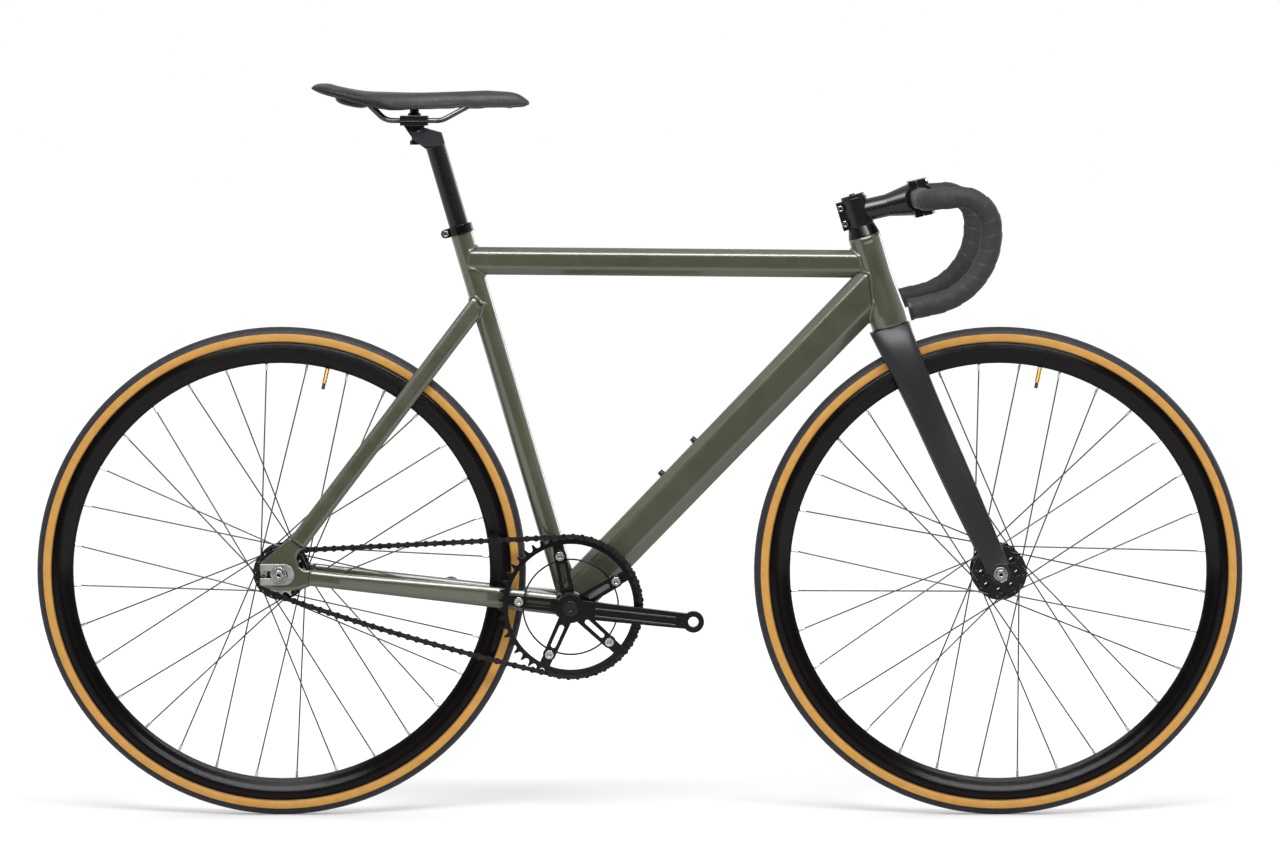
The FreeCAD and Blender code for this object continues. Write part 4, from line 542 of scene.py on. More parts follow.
class Loom(NodePad):
    """Geometry node tree with named inputs, which turns a line into a finished mesh."""

    def __init__(self, name: str, inputs: Sequence[str]) -> None:
        """Starts a tree.

        Args:
            name: Name of the tree.
            inputs: Names of its size inputs.
        """
        super().__init__(bpy.data.node_groups.new(name, "GeometryNodeTree"))
        face = self.tree.interface
        face.new_socket("Geometry", in_out="INPUT", socket_type="NodeSocketGeometry")
        for size in inputs:
            face.new_socket(size, in_out="INPUT", socket_type="NodeSocketFloat")
        face.new_socket("Finish", in_out="INPUT", socket_type="NodeSocketMaterial")
        face.new_socket("Geometry", in_out="OUTPUT", socket_type="NodeSocketGeometry")
        self.given = self.add("NodeGroupInput").outputs

    def keep(self, geometry: Socket, value: Socket) -> tuple[Socket, Socket]:
        """Keeps a value on the points of a geometry.

        Args:
            geometry: The geometry.
            value: The value that its points carry on.

        Returns:
            The geometry and the kept value.
        """
        node = self.add("GeometryNodeCaptureAttribute")
        node.capture_items.new("FLOAT", "kept")
        self.feed(node.inputs[0], geometry)
        self.feed(node.inputs[1], value)
        return node.outputs[0], node.outputs[1]

    def along(self, part: str) -> Socket:
        """Place along a curve: Factor from 0 to 1, or Length in metres."""
        return self.add("GeometryNodeSplineParameter").outputs[part]

    def edges(self) -> Socket:
        """The object's own edges as a curve."""
        return self.add("GeometryNodeMeshToCurve", {0: self.given["Geometry"]}).outputs[0]

    def line(self, step: float) -> Socket:
        """The object's own edges as a curve with even steps of that length."""
        feeds = {"Curve": self.edges(), "Length": step}
        return self.add("GeometryNodeResampleCurve", feeds, mode="LENGTH").outputs[0]

    def ring(self, sides: int) -> Socket:
        """Circle with so many sides, of the radius that the tree is given."""
        feeds = {"Resolution": sides, "Radius": self.given["Radius"]}
        return self.add("GeometryNodeCurvePrimitiveCircle", feeds).outputs[0]

    def close(self, geometry: Socket) -> None:
        """Ends the tree: instances made real, smooth shading and the finish.

        Args:
            geometry: The geometry to hand out.
        """
        real = self.add("GeometryNodeRealizeInstances", {0: geometry}).outputs[0]
        smoothed = self.add("GeometryNodeSetShadeSmooth", {0: real}).outputs[0]
        done = self.add("GeometryNodeSetMaterial", {"Geometry": smoothed, "Material": self.given["Finish"]})
        self.add("NodeGroupOutput", {0: done.outputs[0]})

    def weave(self, piece: bpy.types.Object, finish: bpy.types.Material, **sizes: float) -> None:
        """Runs the tree on an object and leaves it as a plain mesh.

        Args:
            piece: Object whose mesh holds the line.
            finish: Material of the result.
            sizes: Values of the tree's inputs.
        """
        modifier = piece.modifiers.new(self.tree.name, "NODES")
        modifier.node_group = self.tree
        values = dict(sizes, Finish=finish)
        for item in self.tree.interface.items_tree:
            if item.item_type == "SOCKET" and item.in_out == "INPUT" and item.name in values:
                modifier[item.identifier] = values[item.name]
        piece.data = worked_out(piece, modifier)


def tape_loom() -> Loom:
    """Winds tape round a line, each turn lapping over the last.

    Returns:
        The tree.
    """
    loom = Loom("wound_tape", ["Radius", "Lap", "Pitch", "Hand"])
    path, run = loom.keep(loom.line(TAPE_STEP), loom.along("Length"))
    profile, turn = loom.keep(loom.ring(TAPE_SIDES), loom.along("Factor"))
    tube = loom.add("GeometryNodeCurveToMesh", {"Curve": path, "Profile Curve": profile, "Fill Caps": True})
    turned = loom.sums("MULTIPLY", turn, loom.given["Hand"])
    phase = loom.sums("FRACT", loom.sums("ADD", loom.sums("DIVIDE", run, loom.given["Pitch"]), turned))
    rise = loom.steps(phase, 0.0, LAP_RISE)
    fall = loom.sums("SUBTRACT", 1.0, loom.sums("MULTIPLY", phase, LAP_FALL))
    lap = loom.sums("MULTIPLY", loom.given["Lap"], loom.sums("MULTIPLY", rise, fall))
    lumps = loom.add("ShaderNodeTexNoise", {"Scale": LUMP_SCALE, "Detail": 2.0}).outputs["Fac"]
    height = loom.sums("ADD", lap, loom.sums("MULTIPLY", loom.sums("SUBTRACT", lumps, 0.5), LUMP_HEIGHT))
    normal = loom.add("GeometryNodeInputNormal").outputs[0]
    shift = loom.add("ShaderNodeVectorMath", {0: normal, "Scale": height}, operation="SCALE").outputs[0]
    loom.close(loom.add("GeometryNodeSetPosition", {"Geometry": tube.outputs[0], "Offset": shift}).outputs[0])
    return loom


def bead_loom() -> Loom:
    """Lays a rippled round bead along a line.

    Returns:
        The tree.
    """
    loom = Loom("rippled_bead", ["Radius", "Ripple", "Pitch"])
    turns = loom.sums("DIVIDE", loom.along("Length"), loom.given["Pitch"])
    wave = loom.sums("SINE", loom.sums("MULTIPLY", turns, math.tau))
    swell = loom.sums("ADD", 1.0, loom.sums("MULTIPLY", wave, loom.given["Ripple"]))
    path = loom.line(BEAD_STEP)
    sized = loom.add("GeometryNodeSetCurveRadius", {"Curve": path, "Radius": swell}).outputs[0]
    feeds = {"Curve": sized, "Profile Curve": loom.ring(BEAD_SIDES), "Scale": swell, "Fill Caps": True}
    loom.close(loom.add("GeometryNodeCurveToMesh", feeds).outputs[0])
    return loom


def stitch_loom() -> Loom:
    """Sews short round stitches along a line.

    Returns:
        The tree.
    """
    loom = Loom("sewn_stitches", ["Spacing", "Length", "Thick"])
    points = loom.add("GeometryNodeCurveToPoints", {"Curve": loom.edges(), "Length": loom.given["Spacing"]},
                      mode="LENGTH").outputs
    feeds = {"Segments": STITCH_SEGMENTS, "Rings": STITCH_RINGS, "Radius": 0.5}
    seed = loom.add("GeometryNodeMeshUVSphere", feeds).outputs[0]
    thick, long = loom.given["Thick"], loom.given["Length"]
    size = loom.add("ShaderNodeCombineXYZ", {0: thick, 1: thick, 2: long}).outputs[0]
    feeds = {"Points": points["Points"], "Instance": seed, "Rotation": points["Rotation"], "Scale": size}
    loom.close(loom.add("GeometryNodeInstanceOnPoints", feeds).outputs[0])
    return loom


def heading(angle: float) -> Vector:
    """Unit vector in the side plane, an angle in degrees above forward."""
    return Vector((math.cos(math.radians(angle)), 0.0, math.sin(math.radians(angle))))


def rounded(points: Sequence[Vector], radii: Sequence[float], step: float) -> list[Vector]:
    """Runs joined by tangent arcs.

    Args:
        points: Corner points with the two ends.
        radii: Radius of the arc at each inner corner.
        step: Distance between two points of the result, in metres.

    Returns:
        Points along the bent line.
    """
    line = [points[0]]
    for before, corner, after, radius in zip(points, points[1:], points[2:], radii):
        back, ahead = (before - corner).normalized(), (after - corner).normalized()
        half = back.angle(ahead) / 2
        middle = corner + (back + ahead).normalized() * (radius / math.sin(half))
        first = (corner + back * (radius / math.tan(half)) - middle).normalized()
        last = (corner + ahead * (radius / math.tan(half)) - middle).normalized()
        count = max(4, round(radius * (math.pi - 2 * half) / step))
        line += [middle + first.slerp(last, index / count) * radius for index in range(count + 1)]
    return line + [points[-1]]


def mesh_piece(name: str, spots: Iterable[Sequence[float]], edges: Sequence = (),
               faces: Sequence = ()) -> bpy.types.Object:
    """Object with a new mesh.

    Args:
        name: Name of the piece.
        spots: Places of its vertices.
        edges: Pairs of vertex numbers.
        faces: Rows of vertex numbers.

    Returns:
        The new object, in the scene.
    """
    mesh = bpy.data.meshes.new(name)
    mesh.from_pydata([tuple(spot) for spot in spots], edges, faces)
    mesh.update()
    piece = bpy.data.objects.new(name, mesh)
    bpy.context.scene.collection.objects.link(piece)
    return piece


def line_piece(name: str, points: Sequence[Vector], closed: bool = False) -> bpy.types.Object:
    """Object whose mesh is a single line of edges.

    Args:
        name: Name of the piece.
        points: Points of the line.
        closed: True where the last point joins the first.

    Returns:
        The new object.
    """
    edges = [(index, index + 1) for index in range(len(points) - 1)]
    if closed:
        edges.append((len(points) - 1, 0))
    return mesh_piece(name, points, edges)


def lofted_piece(name: str, rows: Sequence[Sequence[Sequence[float]]]) -> bpy.types.Object:
    """Object whose mesh runs through closed rows of points, with both ends capped.

    Args:
        name: Name of the piece.
        rows: Rows with the same count of points each.

    Returns:
        The new object, with its faces outwards.
    """
    count, total = len(rows[0]), len(rows) * len(rows[0])
    faces = [(start + j, start + (j + 1) % count, start + count + (j + 1) % count, start + count + j)
             for start in range(0, total - count, count) for j in range(count)]
    faces += [tuple(reversed(range(count))), tuple(range(total - count, total))]
    piece = mesh_piece(name, [spot for row in rows for spot in row], faces=faces)
    shell = bmesh.new()
    shell.from_mesh(piece.data)
    bmesh.ops.recalc_face_normals(shell, faces=shell.faces)
    shell.to_mesh(piece.data)
    shell.free()
    return piece


def worked_out(piece: bpy.types.Object, modifier: bpy.types.Modifier) -> bpy.types.Mesh:
    """Takes a modifier off a piece and keeps what it made.

    Args:
        piece: The piece.
        modifier: Its only modifier.

    Returns:
        The mesh that the modifier made.
    """
    graph = bpy.context.evaluated_depsgraph_get()
    mesh = bpy.data.meshes.new_from_object(piece.evaluated_get(graph), depsgraph=graph)
    piece.modifiers.remove(modifier)
    return mesh


def bake(piece: bpy.types.Object, kind: str, **settings: object) -> None:
    """Runs one modifier on a piece and keeps its result as the mesh.

    Args:
        piece: The piece.
        kind: Kind of modifier.
        settings: Its settings.
    """
    modifier = piece.modifiers.new(kind.lower(), kind)
    for name, value in settings.items():
        setattr(modifier, name, value)
    piece.data = worked_out(piece, modifier)


def surface_of(mesh: bpy.types.Mesh) -> BVHTree:
    """Search tree of a mesh's faces."""
    return BVHTree.FromPolygons([v.co for v in mesh.vertices], [p.vertices for p in mesh.polygons])


def coat(piece: bpy.types.Object, finish: bpy.types.Material) -> None:
    """Gives a new piece its finish and smooth shading."""
    piece.data.materials.append(finish)
    piece.data.polygons.foreach_set("use_smooth", [True] * len(piece.data.polygons))


def paint(node: str, finish: bpy.types.Material) -> None:
    """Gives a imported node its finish.

    Args:
        node: Name of the node.
        finish: Its material.
    """
    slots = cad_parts[node].data.materials
    slots.clear()
    slots.append(finish)


def settle(piece: bpy.types.Object, body: Body) -> None:
    """Hands a finished piece to its body.

    Args:
        piece: The piece.
        body: Body that it rides on.
    """
    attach(piece, body.value)
    log.info("%s: %d faces on %s", piece.name, len(piece.data.polygons), body.value)


@dataclass
class Wheels:
    """Finishes of the two wheels, centred on their axles."""

    half_base: float = 0.497
    axle_height: float = 0.339
    metal: tuple[tuple[str, str], ...] = (
        ("rim", "rim_black"), ("spokes", "spoke_wire"), ("nipples", "nickel_brass"), ("hub", "hub_black"),
        ("hub_bearings", "bright_steel"),
    )

    def dress(self, shared: dict[str, bpy.types.Material]) -> None:
        """Dresses every node of both wheels.

        Args:
            shared: The shared finishes by name.
        """
        for name, sign in (("front", 1), ("rear", -1)):
            axle = (sign * self.half_base, 0.0, self.axle_height)
            paint(f"{name}_tyre", TyreRubber(f"{name}_tyre_rubber", axle).dress())
            paint(f"{name}_inner_tube", TubeAndValve(f"{name}_tube_and_valve", axle).dress())
            for node, finish in self.metal:
                paint(f"{name}_{node}", shared[finish])


@dataclass
class WeldedFrame:
    """Weld beads where the frame's tubes meet."""

    radius: float = 0.0026
    ripple: float = 0.07
    pitch: float = 0.0021
    merge: float = 1e-6
    near: float = 0.0007
    crease: float = 0.3
    joints: tuple[tuple[str, str], ...] = (
        ("top_tube", "head_tube"), ("top_tube", "seat_tube"), ("down_tube", "head_tube"),
        ("down_tube", "bottom_bracket_shell"), ("seat_tube", "bottom_bracket_shell"),
        ("seatstay_right", "seat_tube"), ("seatstay_left", "seat_tube"),
        ("chainstay_right", "bottom_bracket_shell"), ("chainstay_left", "bottom_bracket_shell"),
    )

    @staticmethod
    def longest_run(edges: list[bmesh.types.BMEdge]) -> list[bmesh.types.BMEdge]:
        """The longest of the connected groups in a list of edges.

        Args:
            edges: The edges.

        Returns:
            The edges of that group.
        """
        groups = []
        while edges:
            group, front = [edges.pop()], True
            while front:
                reached = {v for e in group for v in e.verts}
                front = [e for e in edges if e.verts[0] in reached or e.verts[1] in reached]
                group += front
                edges = [e for e in edges if e not in front]
            groups.append(group)
        return max(groups, key=lambda group: sum(e.calc_length() for e in group), default=[])

    def joint_line(self, tube: str, onto: str) -> tuple[list[Vector], list[tuple[int, int]]]:
        """Outer edge of a tube's cut end, where it meets another.

        Args:
            tube: Node whose end is cut.
            onto: Node that it meets.

        Returns:
            Points of the edge, and the pairs that join them.
        """
        wall = bmesh.new()
        wall.from_mesh(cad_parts[tube].data)
        bmesh.ops.remove_doubles(wall, verts=wall.verts, dist=self.merge)
        surface = surface_of(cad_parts[onto].data)
        close = {v for v in wall.verts if surface.find_nearest(v.co, self.near)[0] is not None}
        run = self.longest_run([e for e in wall.edges if e.verts[0] in close and e.verts[1] in close
                                and len(e.link_faces) == 2 and e.calc_face_angle(0) > self.crease])
        order: dict[bmesh.types.BMVert, int] = {}
        for edge in run:
            for vert in edge.verts:
                order.setdefault(vert, len(order))
        points = [vert.co.copy() for vert in order]
        pairs = [(order[e.verts[0]], order[e.verts[1]]) for e in run]
        wall.free()
        return points, pairs

    def build(self, finish: bpy.types.Material) -> None:
        """Lays the beads.

        Args:
            finish: The frame's paint.
        """
        loom = bead_loom()
        for tube, onto in self.joints:
            points, pairs = self.joint_line(tube, onto)
            if not pairs:
                log.warning("no joint line between %s and %s", tube, onto)
                continue
            bead = mesh_piece(f"weld_{tube}_{onto}", points, pairs)
            loom.weave(bead, finish, Radius=self.radius, Ripple=self.ripple, Pitch=self.pitch)
            settle(bead, Body.FRAME)


@dataclass
class TapedBar:
    """Cushioned tape wound up both drops, with a binding band beside the stem."""

    clamp: Vector = field(default_factory=lambda: Vector((0.386541, 0.0, 0.856403)))
    half_width: float = 0.210
    reach: float = 0.0873
    ramp: float = 5.5
    hook_drop: float = 0.1317
    bends: tuple[float, float, float] = (0.038, 0.042, 0.098)
    bend_step: float = 0.002
    end_angle: float = 12.3
    end_run: float = 0.1096
    start: float = 0.0665
    radius: float = 0.0139
    lap: float = 0.0010
    pitch: float = 0.0205
    band_start: float = 0.047
    band_end: float = 0.0705
    band_radius: float = 0.0142
    band_lap: float = 0.0004
    band_pitch: float = 0.006

    def route(self, side: Side) -> list[Vector]:
        """Middle line of one drop.

        Args:
            side: Side of the bicycle.

        Returns:
            Points from beside the stem to the bar's end.
        """
        corner = self.clamp + side.across * self.half_width
        hook = corner + heading(self.ramp) * (self.reach / math.cos(math.radians(self.ramp)))
        low = hook - UP * self.hook_drop
        end = low + heading(180 + self.end_angle) * self.end_run
        start = self.clamp + side.across * self.start
        return rounded([start, corner, hook, low, end], self.bends, self.bend_step)

    def band(self, side: Side) -> list[Vector]:
        """The two ends of the binding band's middle line on one side."""
        return [self.clamp + side.across * place for place in (self.band_start, self.band_end)]

    def build(self, cover: bpy.types.Material, band: bpy.types.Material) -> None:
        """Winds the tape on both sides.

        Args:
            cover: Finish of the tape.
            band: Finish of the binding band.
        """
        loom = tape_loom()
        for side in Side:
            hand = float(side.value)
            tape = line_piece(f"wound_tape_{side.word}", self.route(side))
            loom.weave(tape, cover, Radius=self.radius, Lap=self.lap, Pitch=self.pitch, Hand=hand)
            settle(tape, Body.HANDLEBAR)
            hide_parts(f"bar_tape_{side.word}")
            wrap = line_piece(f"tape_binding_{side.word}", self.band(side))
            loom.weave(wrap, band, Radius=self.band_radius, Lap=self.band_lap, Pitch=self.band_pitch,
                       Hand=hand)
            settle(wrap, Body.HANDLEBAR)


@dataclass
class PaddedSaddle:
    """Padded cover with drawn in sides, a moulded lip, sewn side panels and a bridge under the tail.

    A station holds a place along the saddle, and the shares of the half width and of the depth that its
    top and its lower edge have there. A row of the side holds shares of the half width and of the height
    from the foot to the brow. A row of the bridge holds its place, half width, upper and lower height.
    """

    tail: float = -0.4526
    length: float = 0.300
    top: float = 1.004
    half_width: float = 0.070
    depth: float = 0.024
    crown: float = 0.30
    crown_power: float = 0.9
    crown_steps: int = 16
    hollow: float = 0.30
    hollow_steps: int = 8
    side: tuple[tuple[float, float], ...] = (
        (0.86, 0.0), (0.955, 0.22), (1.0, 0.5), (0.985, 0.8), (0.92, 1.0),
    )
    stations: tuple[tuple[float, float, float, float], ...] = (
        (-0.004, 0.66, 0.37, 0.17), (0.042, 0.86, 0.48, -0.15), (0.125, 1.00, 0.21, -0.46),
        (0.242, 0.90, -0.05, -0.88), (0.359, 0.66, -0.11, -1.18), (0.492, 0.44, -0.145, -1.14),
        (0.660, 0.33, -0.085, -1.08), (0.842, 0.285, -0.015, -1.06), (0.942, 0.24, -0.06, -1.04),
        (1.004, 0.15, -0.52, -0.945),
    )
    rings: int = 72
    shrink: float = 0.0009
    voxel: float = 0.0025
    smoothing: tuple[int, int] = (8, 6)
    pressure: float = 4.0
    frames: int = 20
    swell_cap: float = 0.0022
    under_cap: float = 0.00055
    under_lift: float = -0.2
    seam_points: int = 41
    seam_reach: float = 0.2
    stitch: tuple[float, float, float] = (0.0031, 0.0024, 0.0007)
    lip_points: int = 61
    lip_inset: float = 0.012
    lip_share: float = 0.94
    lip_reach: float = 0.03
    lip_sink: float = 0.0004
    lip_radius: float = 0.0017
    bridge_rows: tuple[tuple[float, float, float, float], ...] = (
        (-0.421, 0.010, 0.9955, 0.9915), (-0.415, 0.029, 0.9955, 0.9860), (-0.403, 0.037, 0.9945, 0.9828),
        (-0.390, 0.037, 0.9925, 0.9800), (-0.380, 0.028, 0.9920, 0.9798), (-0.375, 0.015, 0.9910, 0.9830),
    )
    bridge_sides: int = 20
    bridge_powers: tuple[float, float] = (0.45, 0.55)

    def shares(self, along: float) -> tuple[float, ...]:
        """Half width, top and lower edge at a place, on a smooth line through the stations.

        Args:
            along: Place from 0 at the tail to 1 at the nose.

        Returns:
            The three shares.
        """
        rows = self.stations
        index = max(i for i in range(len(rows) - 1) if along >= rows[i][0] or i == 0)
        a, b = rows[index], rows[index + 1]
        before, after = rows[max(index - 1, 0)], rows[min(index + 2, len(rows) - 1)]
        span = b[0] - a[0]
        t = min(max((along - a[0]) / span, 0.0), 1.0)
        found = []
        for k in (1, 2, 3):
            slope_a = (b[k] - before[k]) / (b[0] - before[0]) * span
            slope_b = (after[k] - a[k]) / (after[0] - a[0]) * span
            found.append((2 * t ** 3 - 3 * t ** 2 + 1) * a[k] + (t ** 3 - 2 * t ** 2 + t) * slope_a
                         + (3 * t ** 2 - 2 * t ** 3) * b[k] + (t ** 3 - t ** 2) * slope_b)
        return tuple(found)

    def outline(self, along: float) -> list[Vector]:
        """Closed outline across the saddle: foot, side, crown, side, foot and the hollow underneath.

        Args:
            along: Place along the saddle.

        Returns:
            Points of the outline, drawn in by what the filling swells.
        """
        half_share, top_share, low_share = self.shares(along)
        half = self.half_width * half_share - self.shrink
        high = self.top + self.depth * top_share - self.shrink
        low = self.top + self.depth * low_share + self.shrink
        deep = high - low
        brow = high - deep * self.crown
        foot_half, brow_half = half * self.side[0][0], half * self.side[-1][0]
        side = [(half * out, low + (brow - low) * up) for out, up in self.side]
        crown = [(brow_half * math.cos(turn), brow + (high - brow) * math.sin(turn) ** self.crown_power)
                 for turn in (math.pi * k / self.crown_steps for k in range(1, self.crown_steps))]
        under = [(-foot_half * math.cos(turn), low + deep * self.hollow * math.sin(turn))
                 for turn in (math.pi * k / self.hollow_steps for k in range(1, self.hollow_steps))]
        x = self.tail + self.length * along
        return [Vector((x, y, z)) for y, z in side + crown + [(-y, z) for y, z in reversed(side)] + under]

    def form(self) -> bpy.types.Object:
        """Lofts the cover, with rings closer together towards tail and nose.

        Returns:
            The cover before it is filled.
        """
        first, last = self.stations[0][0], self.stations[-1][0]
        parts = [0.5 - 0.5 * math.cos(math.pi * i / (self.rings - 1)) for i in range(self.rings)]
        return lofted_piece("saddle_cover", [self.outline(first + (last - first) * part) for part in parts])

    def swell(self, cover: bpy.types.Object) -> None:
        """Fills the cover with a short cloth simulation, and caps how far each point moves.

        Args:
            cover: The cover's object.
        """
        rest = [v.co.copy() for v in cover.data.vertices]
        lift = [v.normal.z for v in cover.data.vertices]
        cloth = cover.modifiers.new("fill", "CLOTH")
        cloth.settings.use_pressure = True
        cloth.settings.uniform_pressure_force = self.pressure
        cloth.settings.effector_weights.gravity = 0.0
        cloth.point_cache.frame_start = 1
        cloth.point_cache.frame_end = self.frames
        for step in range(1, self.frames + 1):
            bpy.context.scene.frame_set(step)
        mesh = worked_out(cover, cloth)
        for vert, start, up in zip(mesh.vertices, rest, lift):
            cap = self.under_cap if up < self.under_lift else self.swell_cap
            shift = vert.co - start
            vert.co = start + shift * min(1.0, cap / max(shift.length, 1e-9))
        cover.data = mesh
        bpy.context.scene.frame_set(1)

    def fill(self, cover: bpy.types.Object) -> None:
        """Remeshes, swells and smooths the cover.

        Args:
            cover: The cover's object.
        """
        bake(cover, "REMESH", mode="VOXEL", voxel_size=self.voxel)
        bake(cover, "SMOOTH", factor=0.5, iterations=self.smoothing[0])
        self.swell(cover)
        bake(cover, "SMOOTH", factor=0.5, iterations=self.smoothing[1])
        bake(cover, "SUBSURF", levels=1, render_levels=1)

    def lip(self, skin: BVHTree) -> list[Vector]:
        """Lower edge of the filled cover, once round.

        Args:
            skin: The cover's surface.

        Returns:
            Points just inside the edge.
        """
        first, last = self.stations[0][0] + self.lip_inset, self.stations[-1][0] - self.lip_inset
        right = []
        for i in range(self.lip_points):
            along = first + (last - first) * i / (self.lip_points - 1)
            half, _, low = self.shares(along)
            y = -self.half_width * half * self.side[0][0] * self.lip_share
            edge = Vector((self.tail + self.length * along, y, self.top + self.depth * low))
            hit = skin.ray_cast(edge - UP * self.lip_reach, UP, 2 * self.lip_reach)[0]
            if hit is not None:
                right.append(hit + UP * self.lip_sink)
        return right + [Vector((p.x, -p.y, p.z)) for p in reversed(right)]

    def seam(self, side: Side, skin: BVHTree) -> list[Vector]:
        """Line of the side panel's seam on the filled cover.

        Args:
            side: Side of the saddle.
            skin: The cover's surface.

        Returns:
            Points on the surface.
        """
        (start_x, start_z), (end_x, end_z) = SADDLE_SEAM
        found = []
        for i in range(self.seam_points):
            t = i / (self.seam_points - 1)
            place = Vector((start_x + (end_x - start_x) * t, 0.0, start_z + (end_z - start_z) * t))
            hit = skin.ray_cast(place + side.across * self.seam_reach, -side.across, self.seam_reach)[0]
            if hit is not None:
                found.append(hit)
        return found

    def bridge(self) -> bpy.types.Object:
        """Moulds the bridge under the tail that holds the rails' back ends.

        Returns:
            The bridge's object.
        """
        def bulged(value: float, power: float) -> float:
            """A sine or cosine raised to a power, with its sign kept."""
            return math.copysign(abs(value) ** power, value)

        across, upward = self.bridge_powers
        turns = [math.tau * k / self.bridge_sides for k in range(self.bridge_sides)]
        rows = [[(x, half * bulged(math.cos(turn), across),
                  (high + low) / 2 + (high - low) / 2 * bulged(math.sin(turn), upward)) for turn in turns]
                for x, half, high, low in self.bridge_rows]
        piece = lofted_piece("saddle_rail_bridge", rows)
        bake(piece, "SUBSURF", levels=2, render_levels=2)
        return piece

    def build(self, leather: bpy.types.Material, thread: bpy.types.Material,
              plastic: bpy.types.Material) -> None:
        """Makes the saddle.

        Args:
            leather: Finish of the cover.
            thread: Finish of the stitches.
            plastic: Finish of the moulded pieces.
        """
        cover = self.form()
        self.fill(cover)
        coat(cover, leather)
        settle(cover, Body.SADDLE)
        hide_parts("saddle")
        skin = surface_of(cover.data)
        sewn = stitch_loom()
        spacing, long, thick = self.stitch
        for side in Side:
            row = line_piece(f"saddle_stitches_{side.word}", self.seam(side, skin))
            sewn.weave(row, thread, Spacing=spacing, Length=long, Thick=thick)
            settle(row, Body.SADDLE)
        lip = line_piece("saddle_shell_lip", self.lip(skin), closed=True)
        bead_loom().weave(lip, plastic, Radius=self.lip_radius, Ripple=0.0, Pitch=0.01)
        settle(lip, Body.SADDLE)
        bridge = self.bridge()
        coat(bridge, plastic)
        settle(bridge, Body.SADDLE)


def aimed(name: str, data: bpy.types.ID, at: Place, to: Place) -> bpy.types.Object:
    """Object of a lamp or a camera that faces a point.

    Args:
        name: Its name.
        data: The lamp or the camera.
        at: Its place.
        to: The point that it faces.

    Returns:
        The new object, in the scene.
    """
    holder = bpy.data.objects.new(name, data)
    holder.location = at
    holder.rotation_euler = (Vector(to) - Vector(at)).to_track_quat("-Z", "Y").to_euler()
    bpy.context.scene.collection.objects.link(holder)
    return holder


@dataclass(frozen=True)
class Lamp:
    """One soft lamp: its place, the point that it faces, its width and height and its power in watts."""

    name: str
    at: Place
    to: Place
    size: tuple[float, float]
    power: float
    gloss_only: bool = False

    def hang(self) -> None:
        """Puts the lamp in the scene, in reflections alone where it is for gloss only."""
        light = bpy.data.lights.new(self.name, "AREA")
        light.shape = "RECTANGLE"
        light.size, light.size_y = self.size
        light.energy = self.power
        holder = aimed(self.name, light, self.at, self.to)
        holder.visible_camera = False
        holder.visible_diffuse = not self.gloss_only


